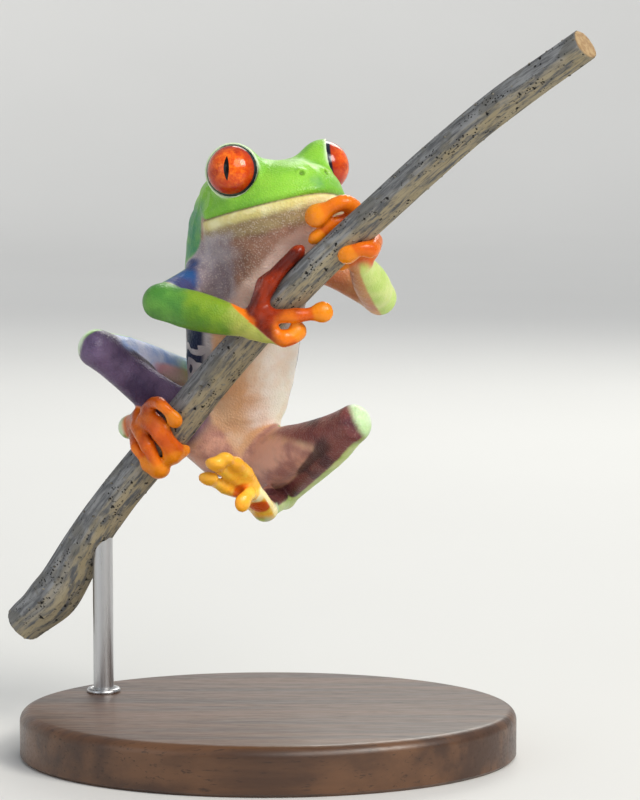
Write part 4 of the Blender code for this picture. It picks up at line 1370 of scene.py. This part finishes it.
# Painted shade: the iris turns deeper red on its lower side, away from the light.
iris = web.tint(iris, web.span(shaded_iris_side, 0.05, 0.7), 0.55, SHADED_IRIS_RED)
bulge = web.minus(1.0, web.math("POWER", web.math("DIVIDE", upward, PUPIL_TALL), 2.0))
slit = web.minus(web.times(bulge, PUPIL_HALF), web.math("ABSOLUTE", aside))
iris = web.tint(iris, web.span(slit, -0.006, 0.006), web.span(ahead, 0.0, 0.05), (0.002, 0.001, 0.001))
iris = web.blend(from_axis, 0.90, 0.925, iris, (0.008, 0.010, 0.022))
iris = web.blend(ahead, 0.26, 0.2, iris, (0.02, 0.02, 0.03))  # dull grey behind the lids
web.feed(shader.inputs["Base Color"], iris)
web.bump(shader, fibres, 0.12, 0.05)
for side, ball in eyeballs.items():
    paint(ball, eye_look)
    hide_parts(f"eye_{side}")
print("eyes:", len(eyeballs))

# %% [markdown]
# ## The twig
# A dead twig a little thinner than a pencil: ridged bark with cracks, a swollen knot near
# its lower end, and two clean saw cuts. Its bark is a fine grid wrapped on the solid's
# centre line.

# %% Bark as a grid
AROUND, ALONG = 84, 620
KNOT_AT, KNOT_LONG = 0.115, 0.035


def twig_shell():
    path = spline(TWIG, ALONG)
    tangents = unit(np.gradient(path[:, :3], axis=0))
    side = unit(np.cross(tangents, (0, 1, 0)))
    up = np.cross(side, tangents)
    angle = np.linspace(0, 2 * math.pi, AROUND, endpoint=False)[None, :]
    share = np.linspace(0, 1, ALONG)[:, None]
    row = 22 * share  # ridge pattern of the solid
    swell = 0.025 * np.sin(3 * angle + 0.3 * row) + 0.015 * np.sin(5 * angle - 0.5 * row)
    ridges = 0.011 * np.sin(11 * angle + 9 * share + 1.5 * np.sin(14 * share))
    ridges = ridges + 0.008 * np.sin(19 * angle - 14 * share + 2 * np.sin(23 * share + angle))
    waves = 0.012 * np.sin(60 * share + 3 * np.sin(angle + 9 * share))
    scar = bell(share - KNOT_AT, KNOT_LONG) * (0.06 + 0.05 * np.cos(angle - 4.2))
    radius = path[:, 3:] * (1 + swell + ridges + waves + scar)
    ring = np.cos(angle)[..., None] * side[:, None] + np.sin(angle)[..., None] * up[:, None]
    return path, tangents, path[:, None, :3] + radius[..., None] * ring


path, tangents, shell = twig_shell()
print("bark grid:", ALONG, "by", AROUND)

# %% Cut ends of the twig
CUT_RINGS = (0.93, 0.14), (0.6, 0.17), (0.3, 0.16)  # share of the radius, and how far out it stands
CUT_MIDDLE = 0.15
points = list(shell.reshape(-1, 3))
faces = grid_faces(ALONG, AROUND)
for row, way in ((0, -1), (ALONG - 1, 1)):
    rim = shell[row]
    middle = path[row, :3]
    rings = [row * AROUND + np.arange(AROUND)]
    for share, out in CUT_RINGS:
        rings.append(len(points) + np.arange(AROUND))
        points += list(middle + (rim - middle) * share + way * out * tangents[row])
    points.append(middle + way * CUT_MIDDLE * tangents[row])
    for low, high in zip(rings, rings[1:]):
        faces += strip(low, high)
    faces += [(rings[-1][k], rings[-1][(k + 1) % AROUND], len(points) - 1) for k in range(AROUND)]
twig = face_outwards(add_mesh("twig_bark", points, faces))
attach(twig, "root")
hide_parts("twig")
print("twig:", triangles_of(twig), "triangles")

# %% Where the bark's pattern lies
BARK_ROUND = 2.6  # radius of the cylinder on which it is laid
run = np.append(0, np.cumsum(np.linalg.norm(np.diff(path[:, :3], axis=0), axis=1)))
turn = 2 * math.pi * np.arange(AROUND) / AROUND
on_bark = ALONG * AROUND  # the bark's own points come first, then those of the two cuts
along_values = np.array(points, np.float32)
round_it = BARK_ROUND * np.column_stack([np.cos(turn), np.sin(turn)])
along_values[:on_bark, :2] = np.tile(round_it, (ALONG, 1))
along_values[:on_bark, 2] = np.repeat(run, AROUND)
store(twig, "along", along_values)
store(twig, "cut_end", np.arange(len(points)) >= on_bark)
print("bark runs", round(float(run[-1]), 1), "mm")

# %% Bark material
WARM_LIT_SIDE = (0.5, -0.35, -0.7)  # the side on which the bark is painted warmer and lighter, as painted light
BARK_GREYS = (0.27, 0.275, 0.28), (0.115, 0.118, 0.125)
BARK_PATCH, BARK_WARM_LIGHT, BARK_CRACK, BARK_SPOT = (
    (0.15, 0.145, 0.13), (0.42, 0.34, 0.19), (0.05, 0.048, 0.045), (0.012, 0.011, 0.010)
)
bark_look, web, shader = new_material("twig bark", Specular_IOR_Level=0.3)
along = web.attribute("along", "Vector")
stretched = web.vector("MULTIPLY", along, (1.0, 1.0, 0.16))
streaks = web.noise(stretched, 1.6, 5.0, 0.6)
fine_streaks = web.noise(stretched, 4.5, 4.0, 0.65)
patches = web.noise(along, 0.28, 3.0)
outward = web.add("ShaderNodeNewGeometry").outputs["Normal"]
lower = web.vector("DOT_PRODUCT", outward, WARM_LIT_SIDE, "Value")
lower = web.times(web.span(lower, -0.1, 0.6), web.span(streaks, 0.65, 0.45))
specks, pores = (
    web.add("ShaderNodeTexVoronoi", {"Vector": along, "Scale": scale}).outputs["Distance"]
    for scale in (0.55, 2.1)
)
ragged = web.plus(specks, web.times(web.noise(along, 3.0), 0.5))
in_bands = web.span(web.noise(stretched, 0.9, 3.0), 0.5, 0.6)
pore_spots = web.times(web.span(pores, 0.34, 0.24), in_bands)
dark_spots = web.math("MAXIMUM", web.span(ragged, 0.42, 0.34), pore_spots)
bark = web.blend(streaks, 0.36, 0.64, *BARK_GREYS)
bark = web.tint(bark, web.span(patches, 0.5, 0.6), 0.7, BARK_PATCH)
# Painted light: the lower right side of the twig turns warmer and lighter.
bark = web.tint(bark, lower, 0.75, BARK_WARM_LIGHT)
bark = web.tint(bark, web.span(fine_streaks, 0.54, 0.68), 0.6, BARK_CRACK)
bark = web.mix(dark_spots, bark, BARK_SPOT)
wood = web.blend(web.noise(web.place(), 1500.0), 0.4, 0.6, (0.42, 0.29, 0.15), (0.32, 0.20, 0.10))
bark = web.mix(web.attribute("cut_end"), bark, wood)
web.feed(shader.inputs["Base Color"], bark)
web.feed(shader.inputs["Roughness"], web.span(streaks, 0.3, 0.7, 0.62, 0.85))
height = web.plus(web.times(streaks, 0.6), web.times(fine_streaks, 0.5))
web.bump(shader, web.minus(height, web.times(dark_spots, 0.3)), 0.8, 0.22)
paint(twig, bark_look)
print("bark material:", len(bark_look.node_tree.nodes), "nodes")

# %% [markdown]
# ## Lenticels
# Bark breathes through small raised pores. Geometry Nodes strews them over the bark's own
# mesh, never two closer than the spacing, and joins them all in one plain mesh.

# %% Lenticel material
pore_look, web, shader = new_material("lenticels", Specular_IOR_Level=0.25, Roughness=0.8)
pore_shade = web.noise(web.place(), 700.0)
pore_shade = web.blend(pore_shade, 0.4, 0.6, (0.27, 0.25, 0.20), (0.10, 0.09, 0.075))
web.feed(shader.inputs["Base Color"], pore_shade)
print("lenticel material:", len(pore_look.node_tree.nodes), "nodes")

# %% Tree that strews raised pores over a mesh
PORES_AT_MOST = 4.0e5  # to a square metre, before the spacing thins them


def pore_tree():
    """Its inputs are the bark, the pores' spacing and size in metres, and a fixed seed."""
    tree = bpy.data.node_groups.new("raised pores", "GeometryNodeTree")
    wanted = (("Geometry", "Geometry"), ("Spacing", "Float"), ("Size", "Float"), ("Seed", "Int"))
    sockets = {
        label: tree.interface.new_socket(label, in_out="INPUT", socket_type=f"NodeSocket{kind}")
        for label, kind in wanted
    }
    tree.interface.new_socket("Geometry", in_out="OUTPUT", socket_type="NodeSocketGeometry")
    web = Web(tree)
    given = web.add("NodeGroupInput").outputs
    at_cut = web.add("GeometryNodeInputNamedAttribute", {"Name": "cut_end"}, data_type="FLOAT")
    compared = {"A": at_cut.outputs["Attribute"], "B": 0.01}
    on_bark = web.add("FunctionNodeCompare", compared, data_type="FLOAT", operation="LESS_THAN")
    strewn = web.add(
        "GeometryNodeDistributePointsOnFaces",
        {
            "Mesh": given["Geometry"],
            "Selection": on_bark.outputs["Result"],
            "Distance Min": given["Spacing"],
            "Density Max": PORES_AT_MOST,
            "Seed": given["Seed"],
        },
        distribute_method="POISSON",
    ).outputs
    bead = web.add("GeometryNodeMeshUVSphere", {"Segments": 9, "Rings": 5, "Radius": given["Size"]})
    lens = web.shape("Transform", bead.outputs["Mesh"], Scale=(1.5, 0.8, 0.4))
    lens = web.shape("SetShadeSmooth", lens)
    sizes = web.add("FunctionNodeRandomValue", {"Seed": given["Seed"]}, data_type="FLOAT")
    sizes.inputs[2].default_value = 0.5  # smallest and
    sizes.inputs[3].default_value = 1.3  # largest, as a share of the size asked for
    placed = web.add(
        "GeometryNodeInstanceOnPoints",
        {
            "Points": strewn["Points"],
            "Instance": lens,
            "Rotation": strewn["Rotation"],
            "Scale": sizes.outputs[1],
        },
    ).outputs["Instances"]
    painted = web.shape("SetMaterial", web.shape("RealizeInstances", placed), Material=pore_look)
    web.feed(web.add("NodeGroupOutput").inputs["Geometry"], painted)
    return tree, sockets


print("pore tree ready")

# %% Lenticels on the twig
PORE_SPACING, PORE_SIZE, PORE_SEED = 2.2 * MM, 0.2 * MM, 7
pores_made = put("twig_lenticels", twig.data.copy())
strew = pores_made.modifiers.new("strew", "NODES")
strew.node_group, sockets = pore_tree()
for label, value in (("Spacing", PORE_SPACING), ("Size", PORE_SIZE), ("Seed", PORE_SEED)):
    strew[sockets[label].identifier] = value
solid = as_evaluated(pores_made)
pores_made.modifiers.clear()
pores_made.data = solid
paint(pores_made, pore_look)
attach(pores_made, "root")
print("lenticels:", len(solid.polygons), "faces")

# %% [markdown]
# ## The stand
# An oval walnut base with a rounded edge and one brushed steel rod that runs up into the
# twig. The turned edge is a swept outline. The rod stands in a small steel collar.

# %% Base and rod
BASE_AT, BASE_HALF, BASE_HEIGHT, BASE_ROUND = (-7.5, 2.0), (36.0, 27.0), 7.0, 1.6
ROD_AT, ROD_RADIUS, ROD_LOW, ROD_TOP = (-32.2, 13.1), 1.5, 3.3, 33.0
ROD_ROWS = (ROD_RADIUS, ROD_LOW), (ROD_RADIUS, ROD_TOP)  # radius and height
COLLAR_ROWS = (2.5, 6.9), (2.5, 7.35), (2.3, 7.6), (1.52, 7.6), (1.52, 6.9)


def swept(name, middle, rows, sides):
    """A closed turned shape: rows are half sizes along X and Y, and a height."""
    turn = np.linspace(0, 2 * math.pi, sides, endpoint=False)
    x, y = middle
    made = [(x + a * math.cos(t), y + b * math.sin(t), z) for a, b, z in rows for t in turn]
    sheets = grid_faces(len(rows), sides)
    sheets += [list(range(sides)), list(range((len(rows) - 1) * sides, len(rows) * sides))]
    return face_outwards(add_mesh(name, made, sheets))


base_rows = [(BASE_HALF[0] - 0.5, BASE_HALF[1] - 0.5, 0.0), (BASE_HALF[0], BASE_HALF[1], 0.5)]
for degrees in range(0, 91, 10):
    bend = math.radians(degrees)
    inset = BASE_ROUND * (1 - math.cos(bend))
    height = BASE_HEIGHT - BASE_ROUND * (1 - math.sin(bend))
    base_rows.append((BASE_HALF[0] - inset, BASE_HALF[1] - inset, height))
base = swept("base_walnut", BASE_AT, base_rows, 160)
rod = swept("rod_steel", ROD_AT, [(radius, radius, z) for radius, z in ROD_ROWS], 64)
for piece in (base, rod):
    piece.data.set_sharp_from_angle(angle=math.radians(40))
collar = swept("rod_collar", ROD_AT, [(radius, radius, z) for radius, z in COLLAR_ROWS], 64)
for piece in (base, rod, collar):
    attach(piece, "root")
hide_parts("stand_base")
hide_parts("stand_rod")
print("base", BASE_HALF, "rod up to", ROD_TOP)


# %% Walnut
def drawn_out(web, *scale):
    """The piece's own place, drawn out along its grain: the smaller a scale, the longer."""
    return web.add("ShaderNodeMapping", {"Vector": web.place(), "Scale": scale}).outputs[0]


walnut_look, web, shader = new_material(
    "walnut", Specular_IOR_Level=0.4, Coat_Weight=0.3, Coat_Roughness=0.25
)
rings = web.noise(drawn_out(web, 14.0, 260.0, 150.0), 1.0, 5.0)
pores = web.noise(drawn_out(web, 60.0, 520.0, 520.0), 4.0, 3.0, 0.7)
wood = web.blend(rings, 0.35, 0.65, (0.125, 0.056, 0.024), (0.05, 0.021, 0.010))
wood = web.tint(wood, web.span(pores, 0.58, 0.7), 0.7, (0.018, 0.008, 0.004))
web.feed(shader.inputs["Base Color"], wood)
web.feed(shader.inputs["Roughness"], web.span(pores, 0.3, 0.7, 0.34, 0.5))
web.bump(shader, pores, 0.35, 0.06)
paint(base, walnut_look)
print("walnut:", len(walnut_look.node_tree.nodes), "nodes")

# %% Brushed steel
steel_look, web, shader = new_material("brushed steel", Metallic=1.0)
lines = web.noise(drawn_out(web, 4000.0, 4000.0, 60.0), 1.0, 3.0)
web.feed(shader.inputs["Base Color"], web.mix(lines, (0.50, 0.50, 0.51), (0.62, 0.62, 0.63)))
web.feed(shader.inputs["Roughness"], web.span(lines, 0.3, 0.7, 0.24, 0.4))
web.bump(shader, lines, 0.2, 0.02)
paint(rod, steel_look)
paint(collar, steel_look)
print("steel:", len(steel_look.node_tree.nodes), "nodes")
